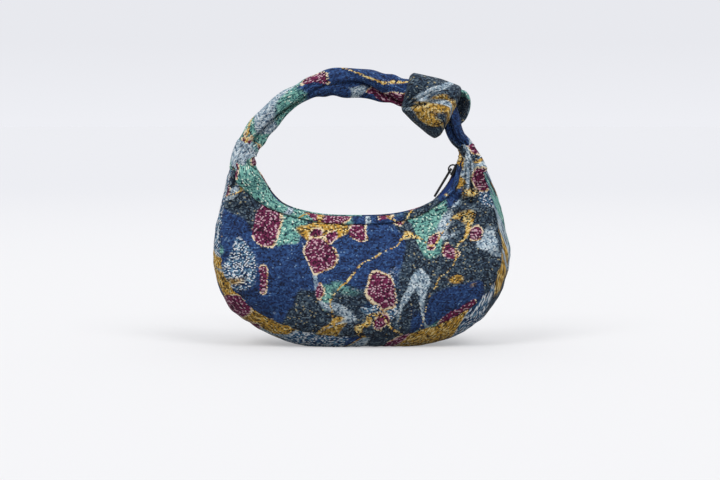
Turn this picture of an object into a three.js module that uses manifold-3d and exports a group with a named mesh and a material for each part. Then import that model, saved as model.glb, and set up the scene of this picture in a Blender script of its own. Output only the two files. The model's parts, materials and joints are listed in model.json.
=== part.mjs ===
// A small crescent handbag in woven tapestry: two panels and a gusset over interlining and lining,
// a curved zip between two rim bands, and a soft strap tied in a knot above the right-hand neck.
// Millimetres, +Z up, +X to the right of someone who faces the front, which looks towards -Y.
// The origin is on the floor under the middle of the bag.
import * as THREE from "three";
import { mergeVertices } from "three/addons/utils/BufferGeometryUtils.js";
import Module from "manifold-3d";

const wasm = await Module();
wasm.setup();

// Driving dimensions of the bag's body
const BAG_WIDTH = 260;
const BELLY_HEIGHT = 78;
const BELLY_DROP = 82;
const OUTLINE_POWER = 2.2;
const NECK_HEIGHT = 166;
const NECK_SHIFT = -4;
const NECK_WALL = 15.5;
const SHOULDER_POWER = 1.6;
const BASE_DEPTH = 60;
const NECK_DEPTH = 18;
const TAPER_START_ANGLE = 25;
const WALL_BULGE = 14;
const BULGE_SKEW = 0.85;
const BULGE_FADE = 1.2;

// The seam between a panel and the gusset lies inside the outline by these amounts
const SEAM_INSET_NECK = 3;
const SEAM_INSET_BASE = 10;
const SEAM_INSET_CORNER = 4;
const CORNER_ANGLE = 30;
const CORNER_SPREAD = 14;

// Cloth layers, from the outside in
const CLOTH = 1.8;
const INTERLINING = 2;
const LINING = 0.6;
const LAYER_GAP = 0.3;
const SEAM_GAP = 0.4;

// The zip runs on a circular arc in the middle plane
const ZIP_RADIUS = 98;
const ZIP_CENTRE_HEIGHT = 197;
const PANEL_END_ANGLE = 69.9;
const ROOT_START_ANGLE = 70.2;
const CHAIN_CLOSED_ANGLE = 67.3;
const CHAIN_OPEN_ANGLE = -51.3;
const TAPE_OVERHANG_ANGLE = 1.9;
const BAND_END_ANGLE = 66;
const TAB_GAP_ANGLE = 0.4;

// The rim stands above the zip, most in the middle
const RIM_RISE_END = 2;
const RIM_RISE_MIDDLE = 12.5;
const RIM_RISE_SPAN = 52;
const RIM_DEPTH_END = 17;
const RIM_DEPTH_MIDDLE = 24;
const BAND_WIDTH = 8;
const BAND_PROUD = 0.6;
const BAND_THICKNESS = 2.6;

// Zip chain
const TAPE_THICKNESS = 0.7;
const TAPE_SEAT = 2.5;
const TEETH_SLIT = 1;
const TEETH_WIDTH = 1.8;
const TEETH_HEIGHT = 2.6;
const STOP_LENGTH_ANGLE = 0.9;
const STOP_WIDTH = 2.4;
const STOP_HEIGHT = 3.6;
const STOP_GAP_ANGLE = 0.25;

// Slider and pull
const SLIDER_ANGLE = 63.2;
const SLIDER_LENGTH = 11;
const SLIDER_WIDTH = 9.6;
const SLIDER_PLATE = 1.3;
const SLIDER_CLEARANCE = 0.5;
const SLIDER_FLANGE = 1.8;
const SLIDER_SLIT = 2;
const POST_LENGTH = 3.7;
const POST_THICKNESS = 0.5;
const CROWN_LENGTH = 9;
const CROWN_HEIGHT = 4.6;
const CROWN_BAR = 1.3;
const CROWN_WIDTH = 2;
const PULL_LENGTH = 28;
const PULL_WIDTH = 6;
const PULL_THICKNESS = 1.8;
const PULL_EYE_LENGTH = 4.2;
const PULL_EYE_WIDTH = 3;
const PULL_PIVOT_ALONG = 0.9;
const PULL_PIVOT_HEIGHT = 1.7;
const PULL_LIFT_ANGLE = 4;

// Inside pocket on the back lining
const POCKET_ANGLE = 17;
const POCKET_LOW = 23;
const POCKET_HIGH = 63;
const POCKET_CLOTH = 0.6;
const POCKET_GAP = 0.7;

// Strap, from neck to neck on half an ellipse
const STRAP_HALF_SPAN = 97;
const STRAP_RISE = 66.5;
const STRAP_CENTRE_HEIGHT = 165;
const STRAP_AXIS_HEIGHT = 172.5;
const STRAP_NECK_WIDTH = 15;
const STRAP_NECK_DEPTH = 9;
const STRAP_LEFT_NECK_WIDTH = 20;
const STRAP_WIDTH = 25;
const STRAP_WAIST_WIDTH = 16;
const STRAP_WAIST_SHARE = 0.42;
const STRAP_WAIST_SPREAD = 0.17;
const STRAP_DEPTH = 15;
const STRAP_KNOT_WIDTH = 22;

// Knot: a wrap that widens along its own axis, and a loop that stands out of its end
const KNOT_START_X = 40.4;
const KNOT_START_HEIGHT = 222.6;
const KNOT_TILT = -27;
const KNOT_LENGTH = 43;
const KNOT_START_WIDTH = 30;
const KNOT_START_DEPTH = 24;
const KNOT_END_WIDTH = 51;
const KNOT_END_DEPTH = 41;
const KNOT_ROUND = 4;
const KNOT_END_ROUND = 8;
const LOOP_REACH = 14;
const LOOP_WIDTH = 28;
const LOOP_DEPTH = 22;
const LOOP_OFFSET = 10.5;
const TAIL_WIDTH = 13.6;
const TAIL_DEPTH = 12;
const TAIL_OFFSET = -11.2;

// Mesh steps
const ARC_STEPS = 28;
const WALL_STEPS = 7;
const GUSSET_STEPS = 6;
const CHAIN_STEPS = 32;
const RING_POINTS = 14;
const STRAP_STEPS = 18;
const TAIL_STEPS = 6;

// Small helpers
const radians = THREE.MathUtils.degToRad;
const lerp = THREE.MathUtils.lerp;
const smooth = (x, low, high) => THREE.MathUtils.smoothstep(x, low, high);

// A point given by its distance from the zip arc's centre, its angle from straight down, and its depth
function polar(radius, angle, y) {
  const a = radians(angle);
  return new THREE.Vector3(NECK_SHIFT + radius * Math.sin(a), y, ZIP_CENTRE_HEIGHT - radius * Math.cos(a));
}

// A closed geometry from points and triangles, turned so that its faces point outwards
function closedGeometry(points, triangles) {
  let volume = 0;
  const cross = new THREE.Vector3();
  for (const [a, b, c] of triangles) volume += points[a].dot(cross.crossVectors(points[b], points[c]));
  const index = volume < 0 ? triangles.map(([a, b, c]) => [a, c, b]) : triangles;
  const geometry = new THREE.BufferGeometry().setFromPoints(points);
  geometry.setIndex(index.flat());
  geometry.computeVertexNormals();
  return geometry;
}

// Solid between two matching grids of points, closed round its four edges
function slab(outer, inner, columns, rows) {
  const points = [];
  for (const face of [outer, inner])
    for (let i = 0; i <= columns; i++)
      for (let j = 0; j <= rows; j++) points.push(face(i / columns, j / rows));
  const at = (face, i, j) => face * (columns + 1) * (rows + 1) + i * (rows + 1) + j;
  const triangles = [];
  const quad = (a, b, c, d) => triangles.push([a, b, c], [a, c, d]);
  for (let i = 0; i < columns; i++)
    for (let j = 0; j < rows; j++) {
      quad(at(0, i, j), at(0, i + 1, j), at(0, i + 1, j + 1), at(0, i, j + 1));
      quad(at(1, i, j), at(1, i, j + 1), at(1, i + 1, j + 1), at(1, i + 1, j));
    }
  for (let i = 0; i < columns; i++) {
    quad(at(0, i, 0), at(1, i, 0), at(1, i + 1, 0), at(0, i + 1, 0));
    quad(at(0, i, rows), at(0, i + 1, rows), at(1, i + 1, rows), at(1, i, rows));
  }
  for (let j = 0; j < rows; j++) {
    quad(at(0, 0, j), at(0, 0, j + 1), at(1, 0, j + 1), at(1, 0, j));
    quad(at(0, columns, j), at(1, columns, j), at(1, columns, j + 1), at(0, columns, j + 1));
  }
  return closedGeometry(points, triangles);
}

// Solid through a row of rings with the same number of points, with flat ends
function loft(rings) {
  const n = rings[0].length;
  const points = rings.flat();
  const triangles = [];
  for (let k = 0; k + 1 < rings.length; k++)
    for (let i = 0; i < n; i++) {
      const next = (i + 1) % n;
      triangles.push([k * n + i, k * n + next, (k + 1) * n + next]);
      triangles.push([k * n + i, (k + 1) * n + next, (k + 1) * n + i]);
    }
  const last = (rings.length - 1) * n;
  for (let i = 1; i + 1 < n; i++) {
    triangles.push([0, i + 1, i]);
    triangles.push([last, last + i, last + i + 1]);
  }
  return closedGeometry(points, triangles);
}

// Oval ring round a point of the middle plane; across is its in-plane direction there
function ovalRing(centre, across, halfWidth, halfDepth) {
  const ring = [];
  for (let i = 0; i < RING_POINTS; i++) {
    const a = (2 * Math.PI * i) / RING_POINTS;
    const point = centre.clone().addScaledVector(across, halfWidth * Math.cos(a));
    point.y += halfDepth * Math.sin(a);
    ring.push(point);
  }
  return ring;
}

// A geometry as a solid for cutting and joining, and back again
function solidOf(geometry) {
  const bare = geometry.clone();
  bare.deleteAttribute("normal");
  bare.deleteAttribute("uv");
  const merged = mergeVertices(bare);
  return new wasm.Manifold(
    new wasm.Mesh({
      numProp: 3,
      vertProperties: merged.attributes.position.array,
      triVerts: new Uint32Array(merged.index.array),
    }),
  );
}

function geometryOf(solid) {
  const mesh = solid.getMesh();
  const geometry = new THREE.BufferGeometry();
  geometry.setAttribute("position", new THREE.BufferAttribute(new Float32Array(mesh.vertProperties), 3));
  geometry.setIndex(new THREE.BufferAttribute(new Uint32Array(mesh.triVerts), 1));
  geometry.computeVertexNormals();
  return geometry;
}

// A box between two corners
function boxSolid(low, high) {
  const size = new THREE.Vector3().subVectors(high, low);
  const geometry = new THREE.BoxGeometry(size.x, size.y, size.z);
  geometry.translate((low.x + high.x) / 2, (low.y + high.y) / 2, (low.z + high.z) / 2);
  return solidOf(geometry);
}

// Outline of the bag seen from the front: a round belly below, shoulders that draw in to the necks above.
// The necks stand outside the ends of the mouth by the width that the walls have left there
const NECK_SPAN = 2 * (ZIP_RADIUS * Math.sin(radians(PANEL_END_ANGLE)) + NECK_WALL);
function insideOutline(x, z) {
  const halfWidth = BAG_WIDTH / 2;
  if (z <= BELLY_HEIGHT) {
    const across = Math.abs(x) / halfWidth;
    const down = (BELLY_HEIGHT - z) / BELLY_DROP;
    return across ** OUTLINE_POWER + down ** OUTLINE_POWER <= 1;
  }
  const climb = (z - BELLY_HEIGHT) / (NECK_HEIGHT - BELLY_HEIGHT);
  const drawnIn = (halfWidth - NECK_SPAN / 2) * climb ** SHOULDER_POWER;
  return Math.abs(x - NECK_SHIFT * climb) <= halfWidth - drawnIn;
}

// Distance from the zip arc's centre to the outline, found by halving
function outlineRadius(angle) {
  let inside = ZIP_RADIUS;
  let outside = ZIP_RADIUS + BAG_WIDTH;
  for (let i = 0; i < 40; i++) {
    const middle = (inside + outside) / 2;
    const point = polar(middle, angle, 0);
    if (insideOutline(point.x, point.z)) inside = middle;
    else outside = middle;
  }
  return inside;
}

// Share of the way from the middle of the bag, 1, to a neck, 0
const middleShare = (angle) => Math.max(0, 1 - (angle / PANEL_END_ANGLE) ** 2);

function seamInset(angle) {
  const corner = Math.exp(-(((Math.abs(angle) - CORNER_ANGLE) / CORNER_SPREAD) ** 2));
  return SEAM_INSET_NECK + SEAM_INSET_BASE * middleShare(angle) + SEAM_INSET_CORNER * corner;
}

const seamRadius = (angle) => outlineRadius(angle) - seamInset(angle);

function rimRadius(angle) {
  const share = 1 - Math.min(1, Math.abs(angle) / RIM_RISE_SPAN);
  return ZIP_RADIUS - RIM_RISE_END - RIM_RISE_MIDDLE * (0.5 - 0.5 * Math.cos(Math.PI * share));
}

const rimHalfDepth = (angle) => lerp(RIM_DEPTH_END, RIM_DEPTH_MIDDLE, middleShare(angle)) / 2;

function gussetHalfDepth(angle) {
  return lerp(BASE_DEPTH, NECK_DEPTH, smooth(Math.abs(angle), TAPER_START_ANGLE, PANEL_END_ANGLE)) / 2;
}

const wallBulge = (angle) => WALL_BULGE * middleShare(angle) ** BULGE_FADE;

// A point of a wall: v is 0 at the seam and 1 at the rim, inward is the distance inside the outer face
function wallPoint(angle, v, inward, side) {
  const rim = rimRadius(angle);
  const seam = seamRadius(angle) - inward;
  const swell = wallBulge(angle) * Math.sin(Math.PI * v ** BULGE_SKEW);
  const depth = lerp(gussetHalfDepth(angle) - inward, rimHalfDepth(angle) - inward, v) + swell;
  return polar(lerp(seam, rim, v), angle, side * depth);
}

// The share v of a wall that lies a distance below the rim
const belowRim = (angle, distance) => 1 - distance / (seamRadius(angle) - rimRadius(angle));
const aboveSeam = (angle, distance) => distance / (seamRadius(angle) - rimRadius(angle));

// Every layer is cut at the same steps, so that its facets stay parallel to those of the next layer;
// the inner ones stop a step short of each neck
const stepAngle = (s, steps) => PANEL_END_ANGLE * lerp(-1, 1, s) * (steps / ARC_STEPS);
const INNER_STEPS = ARC_STEPS - 2;

// One layer of a wall, between two depths, from the seam up to the lower edge of the rim band
function wallLayer(side, from, to, steps) {
  const face = (inward) => (s, t) => {
    const angle = stepAngle(s, steps);
    const v = lerp(aboveSeam(angle, SEAM_GAP), belowRim(angle, BAND_WIDTH + SEAM_GAP), t);
    return wallPoint(angle, v, inward, side);
  };
  return slab(face(from), face(to), steps, WALL_STEPS);
}

// One layer of the gusset: it swells out past its two seams and lies flat on the floor
function gussetLayer(from, to, steps) {
  const face = (inward) => (s, t) => {
    const angle = stepAngle(s, steps);
    const across = lerp(-1, 1, t);
    const halfDepth = gussetHalfDepth(angle) - inward - SEAM_GAP;
    const swell = seamInset(angle) * (1 - across ** 4);
    const point = polar(seamRadius(angle) - inward + swell, angle, halfDepth * across);
    point.z = Math.max(point.z, inward);
    return point;
  };
  return slab(face(from), face(to), steps, GUSSET_STEPS);
}

const INTERLINING_FROM = CLOTH + LAYER_GAP;
const LINING_FROM = INTERLINING_FROM + INTERLINING + LAYER_GAP;
const POCKET_FROM = LINING_FROM + LINING + POCKET_GAP;

// Rim band: the turned edge at the top of a wall
function rimBand(side) {
  const face = (inward) => (s, t) => {
    const angle = lerp(-BAND_END_ANGLE, BAND_END_ANGLE, s);
    return wallPoint(angle, lerp(belowRim(angle, BAND_WIDTH), 1, t), inward, side);
  };
  return slab(face(-BAND_PROUD), face(BAND_THICKNESS - BAND_PROUD), CHAIN_STEPS, 3);
}

// Half the clear width between the two rim bands, a distance below the rim
function clearHalfWidth(angle, distance) {
  const inner = wallPoint(angle, belowRim(angle, distance), BAND_THICKNESS - BAND_PROUD, 1);
  return inner.y - LAYER_GAP;
}

// Zip tape: a strip from under the rim band down to the outer edge of the teeth
const TEETH_INNER = TEETH_SLIT / 2;
const TEETH_OUTER = TEETH_INNER + TEETH_WIDTH;
const TAPE_OPEN_ANGLE = CHAIN_OPEN_ANGLE - TAPE_OVERHANG_ANGLE;
const TAPE_CLOSED_ANGLE = CHAIN_CLOSED_ANGLE + TAPE_OVERHANG_ANGLE;
function zipTape(side) {
  const face = (shift) => (s, t) => {
    const angle = lerp(TAPE_OPEN_ANGLE, TAPE_CLOSED_ANGLE, s);
    const seatY = clearHalfWidth(angle, TAPE_SEAT) - TAPE_THICKNESS / 2;
    const seat = new THREE.Vector2(rimRadius(angle) + TAPE_SEAT, seatY);
    const edge = new THREE.Vector2(ZIP_RADIUS, TEETH_OUTER + LAYER_GAP + TAPE_THICKNESS / 2);
    const along = edge.clone().sub(seat).normalize();
    const point = seat.lerp(edge, t).addScaledVector(new THREE.Vector2(-along.y, along.x), shift);
    return polar(point.x, angle, side * point.y);
  };
  return slab(face(TAPE_THICKNESS / 2), face(-TAPE_THICKNESS / 2), CHAIN_STEPS, 2);
}

// End tab: a strip of cloth that closes the mouth between the zip's open end and the left neck
function mouthEndTab() {
  const face = (radius) => (s, t) => {
    const angle = lerp(-BAND_END_ANGLE, TAPE_OPEN_ANGLE - TAB_GAP_ANGLE, s);
    return polar(radius, angle, lerp(-1, 1, t) * clearHalfWidth(angle, ZIP_RADIUS - rimRadius(angle)));
  };
  return slab(face(ZIP_RADIUS - CLOTH / 2), face(ZIP_RADIUS + CLOTH / 2), 4, 2);
}

// A bar that follows the zip's arc between two angles, with a box section
function arcBar(fromAngle, toAngle, nearY, farY, height, steps) {
  const face = (y) => (s, t) =>
    polar(ZIP_RADIUS + height * (t - 0.5), lerp(fromAngle, toAngle, s), y);
  return slab(face(nearY), face(farY), steps, 1);
}

const zipTeeth = (side) => arcBar(
  CHAIN_OPEN_ANGLE, CHAIN_CLOSED_ANGLE, side * TEETH_INNER, side * TEETH_OUTER, TEETH_HEIGHT, CHAIN_STEPS);

// Stops, just past the two ends of the teeth
const TOP_STOP_ANGLE = CHAIN_CLOSED_ANGLE + STOP_GAP_ANGLE;
const BOTTOM_STOP_ANGLE = CHAIN_OPEN_ANGLE - STOP_GAP_ANGLE;
const topStop = (side) => arcBar(
  TOP_STOP_ANGLE, TOP_STOP_ANGLE + STOP_LENGTH_ANGLE,
  side * TEETH_INNER, side * (TEETH_INNER + STOP_WIDTH), STOP_HEIGHT, 1);
const bottomStop = () => arcBar(
  BOTTOM_STOP_ANGLE, BOTTOM_STOP_ANGLE - STOP_LENGTH_ANGLE, -STOP_WIDTH, STOP_WIDTH, STOP_HEIGHT, 1);

// Slider, in its own frame: x along the zip towards the open end, z away from the bag, origin in the chain
const PLATE_INNER = TEETH_HEIGHT / 2 + SLIDER_CLEARANCE;
const PLATE_OUTER = PLATE_INNER + SLIDER_PLATE;

function crownShape() {
  const half = CROWN_LENGTH / 2;
  const shape = new THREE.Shape();
  shape.moveTo(half, PLATE_OUTER - SLIDER_PLATE / 2);
  shape.lineTo(half, PLATE_OUTER);
  shape.absellipse(0, PLATE_OUTER, half, CROWN_HEIGHT, 0, Math.PI, false);
  shape.lineTo(-half, PLATE_OUTER - SLIDER_PLATE / 2);
  const hole = new THREE.Path();
  hole.absellipse(0, PLATE_OUTER, half - CROWN_BAR, CROWN_HEIGHT - CROWN_BAR, 0, Math.PI, false);
  shape.holes.push(hole);
  return shape;
}

function sliderBody() {
  const half = SLIDER_LENGTH / 2;
  const edge = SLIDER_WIDTH / 2;
  const box = (x0, y0, z0, x1, y1, z1) =>
    boxSolid(new THREE.Vector3(x0, y0, z0), new THREE.Vector3(x1, y1, z1));
  let solid = box(-half, -edge, PLATE_INNER, half, edge, PLATE_OUTER);
  solid = solid.add(box(-half, -edge, -PLATE_OUTER, half, edge, -PLATE_INNER));
  for (const side of [-1, 1]) {
    const y0 = Math.min(side * edge, side * (edge - SLIDER_FLANGE));
    solid = solid.add(box(-half, y0, SLIDER_SLIT / 2, half, y0 + SLIDER_FLANGE, PLATE_OUTER));
    solid = solid.add(box(-half, y0, -PLATE_OUTER, half, y0 + SLIDER_FLANGE, -SLIDER_SLIT / 2));
  }
  const post = POST_THICKNESS / 2;
  solid = solid.add(box(-half, -post, -PLATE_OUTER, -half + POST_LENGTH, post, PLATE_OUTER));
  const crown = new THREE.ExtrudeGeometry(
    crownShape(), { depth: CROWN_WIDTH, bevelEnabled: false, curveSegments: 10 });
  crown.rotateX(Math.PI / 2);
  crown.translate(0, CROWN_WIDTH / 2, 0);
  return geometryOf(solid.add(solidOf(crown)));
}

// Pull tab, in its own frame: x along the tab, origin on the bar that hangs in the crown
function pullTab() {
  const edge = PULL_WIDTH / 2;
  const eye = PULL_EYE_WIDTH / 2;
  const bar = PULL_THICKNESS / 2;
  const shape = new THREE.Shape();
  shape.moveTo(-bar, -edge);
  shape.lineTo(PULL_LENGTH - edge, -edge);
  shape.absarc(PULL_LENGTH - edge, 0, edge, -Math.PI / 2, Math.PI / 2, false);
  shape.lineTo(-bar, edge);
  const hole = new THREE.Path();
  hole.moveTo(bar, -eye);
  hole.lineTo(PULL_EYE_LENGTH, -eye);
  hole.lineTo(PULL_EYE_LENGTH, eye);
  hole.lineTo(bar, eye);
  shape.holes.push(hole);
  const tab = new THREE.ExtrudeGeometry(
    shape, { depth: PULL_THICKNESS, bevelEnabled: false, curveSegments: 8 });
  tab.translate(0, 0, -PULL_THICKNESS / 2);
  return geometryOf(solidOf(tab));
}

// Strap: rings of an oval along half an ellipse that stands on the two necks
function ellipsePoint(angle) {
  const a = radians(angle);
  return new THREE.Vector3(
    NECK_SHIFT + STRAP_HALF_SPAN * Math.cos(a), 0, STRAP_CENTRE_HEIGHT + STRAP_RISE * Math.sin(a));
}

const STRAP_START_ANGLE = THREE.MathUtils.radToDeg(
  Math.asin((STRAP_AXIS_HEIGHT - STRAP_CENTRE_HEIGHT) / STRAP_RISE));
const leftHinge = ellipsePoint(180 - STRAP_START_ANGLE);
const rightHinge = ellipsePoint(STRAP_START_ANGLE);
const SIDEWAYS = new THREE.Vector3(1, 0, 0);

// Rings that close a strap end in a half round about its hinge line, lowest first
function hingeEnd(hinge, outward, width) {
  const radius = STRAP_NECK_DEPTH / 2;
  return [80, 55, 25, 0].map((turn) => {
    const centre = hinge.clone();
    centre.z -= radius * Math.sin(radians(turn));
    return ovalRing(centre, outward, width / 2, radius * Math.cos(radians(turn)));
  });
}

// Knot frame: along its axis from the strap, and across it
const knotStart = new THREE.Vector3(KNOT_START_X, 0, KNOT_START_HEIGHT);
const knotAlong = new THREE.Vector3(Math.cos(radians(KNOT_TILT)), 0, Math.sin(radians(KNOT_TILT)));
const knotAcross = new THREE.Vector3(-knotAlong.z, 0, knotAlong.x);
const knotPoint = (along, across) =>
  knotStart.clone().addScaledVector(knotAlong, along).addScaledVector(knotAcross, across);

// The in-plane direction across a path that runs from one point to the next
function acrossPath(before, after) {
  const along = after.clone().sub(before).normalize();
  return new THREE.Vector3(-along.z, 0, along.x);
}

function strapArch() {
  const rings = hingeEnd(leftHinge, SIDEWAYS.clone().negate(), STRAP_LEFT_NECK_WIDTH);
  const knotAngle = THREE.MathUtils.radToDeg(Math.acos((KNOT_START_X - NECK_SHIFT) / STRAP_HALF_SPAN));
  for (let i = 1; i < STRAP_STEPS; i++) {
    const share = i / STRAP_STEPS;
    const angle = lerp(180 - STRAP_START_ANGLE, knotAngle, share);
    const across = acrossPath(ellipsePoint(angle + 1), ellipsePoint(angle - 1));
    const grown = lerp(STRAP_LEFT_NECK_WIDTH, STRAP_WIDTH, smooth(share, 0, 0.5));
    const waist = Math.exp(-(((share - STRAP_WAIST_SHARE) / STRAP_WAIST_SPREAD) ** 2));
    const drawnIn = (STRAP_WIDTH - STRAP_WAIST_WIDTH) * waist;
    const width = lerp(grown - drawnIn, STRAP_KNOT_WIDTH, smooth(share, 0.75, 1));
    const depth = lerp(STRAP_NECK_DEPTH, STRAP_DEPTH, smooth(share, 0, 0.35));
    rings.push(ovalRing(ellipsePoint(angle), across, width / 2, depth / 2));
  }
  rings.push(ovalRing(knotPoint(-LAYER_GAP, 0), knotAcross, STRAP_KNOT_WIDTH / 2, STRAP_DEPTH / 2));
  return loft(rings);
}

// The wrap swells from its narrow start to its broad end, with rounded edges
function knotWrap() {
  const section = (along, trim) => {
    const grown = Math.sin((Math.PI / 2) * (along / KNOT_LENGTH));
    const width = lerp(KNOT_START_WIDTH, KNOT_END_WIDTH, grown);
    const depth = lerp(KNOT_START_DEPTH, KNOT_END_DEPTH, grown);
    return ovalRing(knotPoint(along, 0), knotAcross, width / 2 - trim, depth / 2 - trim);
  };
  const startEdge = [0, 0.4, 1].map((share) => section(KNOT_ROUND * share, KNOT_ROUND * (1 - share) ** 2));
  const middle = [0.3, 0.5, 0.7].map((share) => section(KNOT_LENGTH * share, 0));
  const endEdge = [1, 0.4, 0].map((share) =>
    section(KNOT_LENGTH - KNOT_END_ROUND * share, KNOT_END_ROUND * (1 - share) ** 2));
  return loft([...startEdge, ...middle, ...endEdge]);
}

function knotLoop() {
  const from = KNOT_LENGTH + LAYER_GAP;
  const rings = [0, 0.35, 0.7, 0.92, 1].map((share) => {
    const round = Math.sqrt(Math.max(0.05, 1 - share ** 2));
    const centre = knotPoint(from + LOOP_REACH * share, LOOP_OFFSET);
    return ovalRing(centre, knotAcross, (LOOP_WIDTH / 2) * round, (LOOP_DEPTH / 2) * round);
  });
  return loft(rings);
}

function strapTail() {
  const start = knotPoint(KNOT_LENGTH + LAYER_GAP, TAIL_OFFSET);
  const lead = knotPoint(KNOT_LENGTH + TAIL_WIDTH / 2, TAIL_OFFSET - TAIL_WIDTH / 8);
  const above = rightHinge.clone().add(new THREE.Vector3(-TAIL_WIDTH / 8, 0, TAIL_WIDTH / 2));
  const path = new THREE.CatmullRomCurve3([start, lead, above, rightHinge]);
  const rings = [ovalRing(start, knotAcross, TAIL_WIDTH / 2, TAIL_DEPTH / 2)];
  for (let i = 1; i < TAIL_STEPS; i++) {
    const share = i / TAIL_STEPS;
    const across = acrossPath(path.getPoint(share - 0.02), path.getPoint(share + 0.02));
    rings.push(ovalRing(
      path.getPoint(share), across,
      lerp(TAIL_WIDTH, STRAP_NECK_WIDTH, share) / 2, lerp(TAIL_DEPTH, STRAP_NECK_DEPTH, share) / 2));
  }
  rings.push(...hingeEnd(rightHinge, SIDEWAYS, STRAP_NECK_WIDTH).reverse());
  return loft(rings);
}

// Strap root: gathers the ends of the panels and gusset into the neck under the strap
function strapRoot(side, hinge, width) {
  const angle = side * ROOT_START_ANGLE;
  const rim = rimRadius(angle);
  const seam = outlineRadius(angle);
  const start = polar((rim + seam) / 2, angle, 0);
  const startAcross = polar(1, angle, 0).sub(polar(0, angle, 0));
  const top = hinge.clone();
  top.z -= STRAP_NECK_DEPTH / 2 + LAYER_GAP;
  const topAcross = SIDEWAYS.clone().multiplyScalar(side);
  const rings = [0, 0.5, 1].map((share) => {
    const across = startAcross.clone().lerp(topAcross, share).normalize();
    const halfWidth = lerp((seam - rim) / 2, width / 2, share);
    const halfDepth = lerp(NECK_DEPTH / 2, STRAP_NECK_DEPTH / 2, share);
    return ovalRing(start.clone().lerp(top, share), across, halfWidth, halfDepth);
  });
  return loft(rings);
}

// Materials, one for each kind of cloth and metal
const cloth = (color) => new THREE.MeshStandardMaterial({ color, roughness: 0.9, metalness: 0 });
const TAPESTRY = cloth(0x2c3a5c);
const TAPESTRY_TEAL = cloth(0x4d7d7a);
const BAND_CLOTH = cloth(0x5a2c4c);
const FLEECE = cloth(0xd9d6cf);
const LINING_CLOTH = cloth(0x20304f);
const TAPE_CLOTH = cloth(0x1f3f86);
const BLACK_METAL = new THREE.MeshStandardMaterial({ color: 0x141414, roughness: 0.35, metalness: 0.8 });

const bag = new THREE.Group();
function add(name, geometry, material, parent = bag) {
  const mesh = new THREE.Mesh(geometry, material);
  mesh.name = name;
  parent.add(mesh);
  return mesh;
}

const FRONT = -1;
const BACK = 1;
add("gusset_panel", gussetLayer(0, CLOTH, ARC_STEPS), TAPESTRY);
add("gusset_interlining",
  gussetLayer(INTERLINING_FROM, INTERLINING_FROM + INTERLINING, INNER_STEPS), FLEECE);
add("gusset_lining", gussetLayer(LINING_FROM, LINING_FROM + LINING, INNER_STEPS), LINING_CLOTH);
for (const [label, side] of [["front", FRONT], ["back", BACK]]) {
  add(`${label}_panel`, wallLayer(side, 0, CLOTH, ARC_STEPS), TAPESTRY);
  add(`${label}_interlining`,
    wallLayer(side, INTERLINING_FROM, INTERLINING_FROM + INTERLINING, INNER_STEPS), FLEECE);
  add(`${label}_lining`, wallLayer(side, LINING_FROM, LINING_FROM + LINING, INNER_STEPS), LINING_CLOTH);
  add(`${label}_rim_band`, rimBand(side), BAND_CLOTH);
  add(`zip_tape_${label}`, zipTape(side), TAPE_CLOTH);
  add(`zip_teeth_${label}`, zipTeeth(side), BLACK_METAL);
  add(`zip_top_stop_${label}`, topStop(side), BLACK_METAL);
}
add("zip_bottom_stop", bottomStop(), BLACK_METAL);
add("mouth_end_tab", mouthEndTab(), TAPESTRY_TEAL);

const pocketFace = (inward) => (s, t) => {
  const angle = lerp(-POCKET_ANGLE, POCKET_ANGLE, s);
  return wallPoint(angle, aboveSeam(angle, lerp(POCKET_LOW, POCKET_HIGH, t)), inward, BACK);
};
add("slip_pocket",
  slab(pocketFace(POCKET_FROM), pocketFace(POCKET_FROM + POCKET_CLOTH), ARC_STEPS / 2, WALL_STEPS),
  LINING_CLOTH);

// The slider's group stands on the arc with its x axis along the zip and its z axis towards the arc's centre
const sliderPlace = new THREE.Group();
sliderPlace.position.copy(polar(ZIP_RADIUS, SLIDER_ANGLE, 0));
sliderPlace.rotation.set(0, -radians(SLIDER_ANGLE), Math.PI);
bag.add(sliderPlace);
add("zip_slider", sliderBody(), BLACK_METAL, sliderPlace);
const pullPlace = new THREE.Group();
pullPlace.position.set(PULL_PIVOT_ALONG, 0, PLATE_OUTER + PULL_PIVOT_HEIGHT);
pullPlace.rotation.y = -radians(PULL_LIFT_ANGLE);
sliderPlace.add(pullPlace);
add("zip_pull", pullTab(), BLACK_METAL, pullPlace);

add("left_strap_root", strapRoot(-1, leftHinge, STRAP_LEFT_NECK_WIDTH), TAPESTRY_TEAL);
add("right_strap_root", strapRoot(1, rightHinge, STRAP_NECK_WIDTH), TAPESTRY);
add("strap_arch", strapArch(), TAPESTRY_TEAL);
add("knot_wrap", knotWrap(), TAPESTRY);
add("knot_loop", knotLoop(), TAPESTRY_TEAL);
add("strap_tail", strapTail(), TAPESTRY);

export default bag;
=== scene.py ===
# A small crescent handbag of figured woven cloth, with a curved zip and a strap tied in a knot.
# Metres, +Z up, +X to the right of someone who faces the front, which looks towards -Y.
import json
import math

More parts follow.
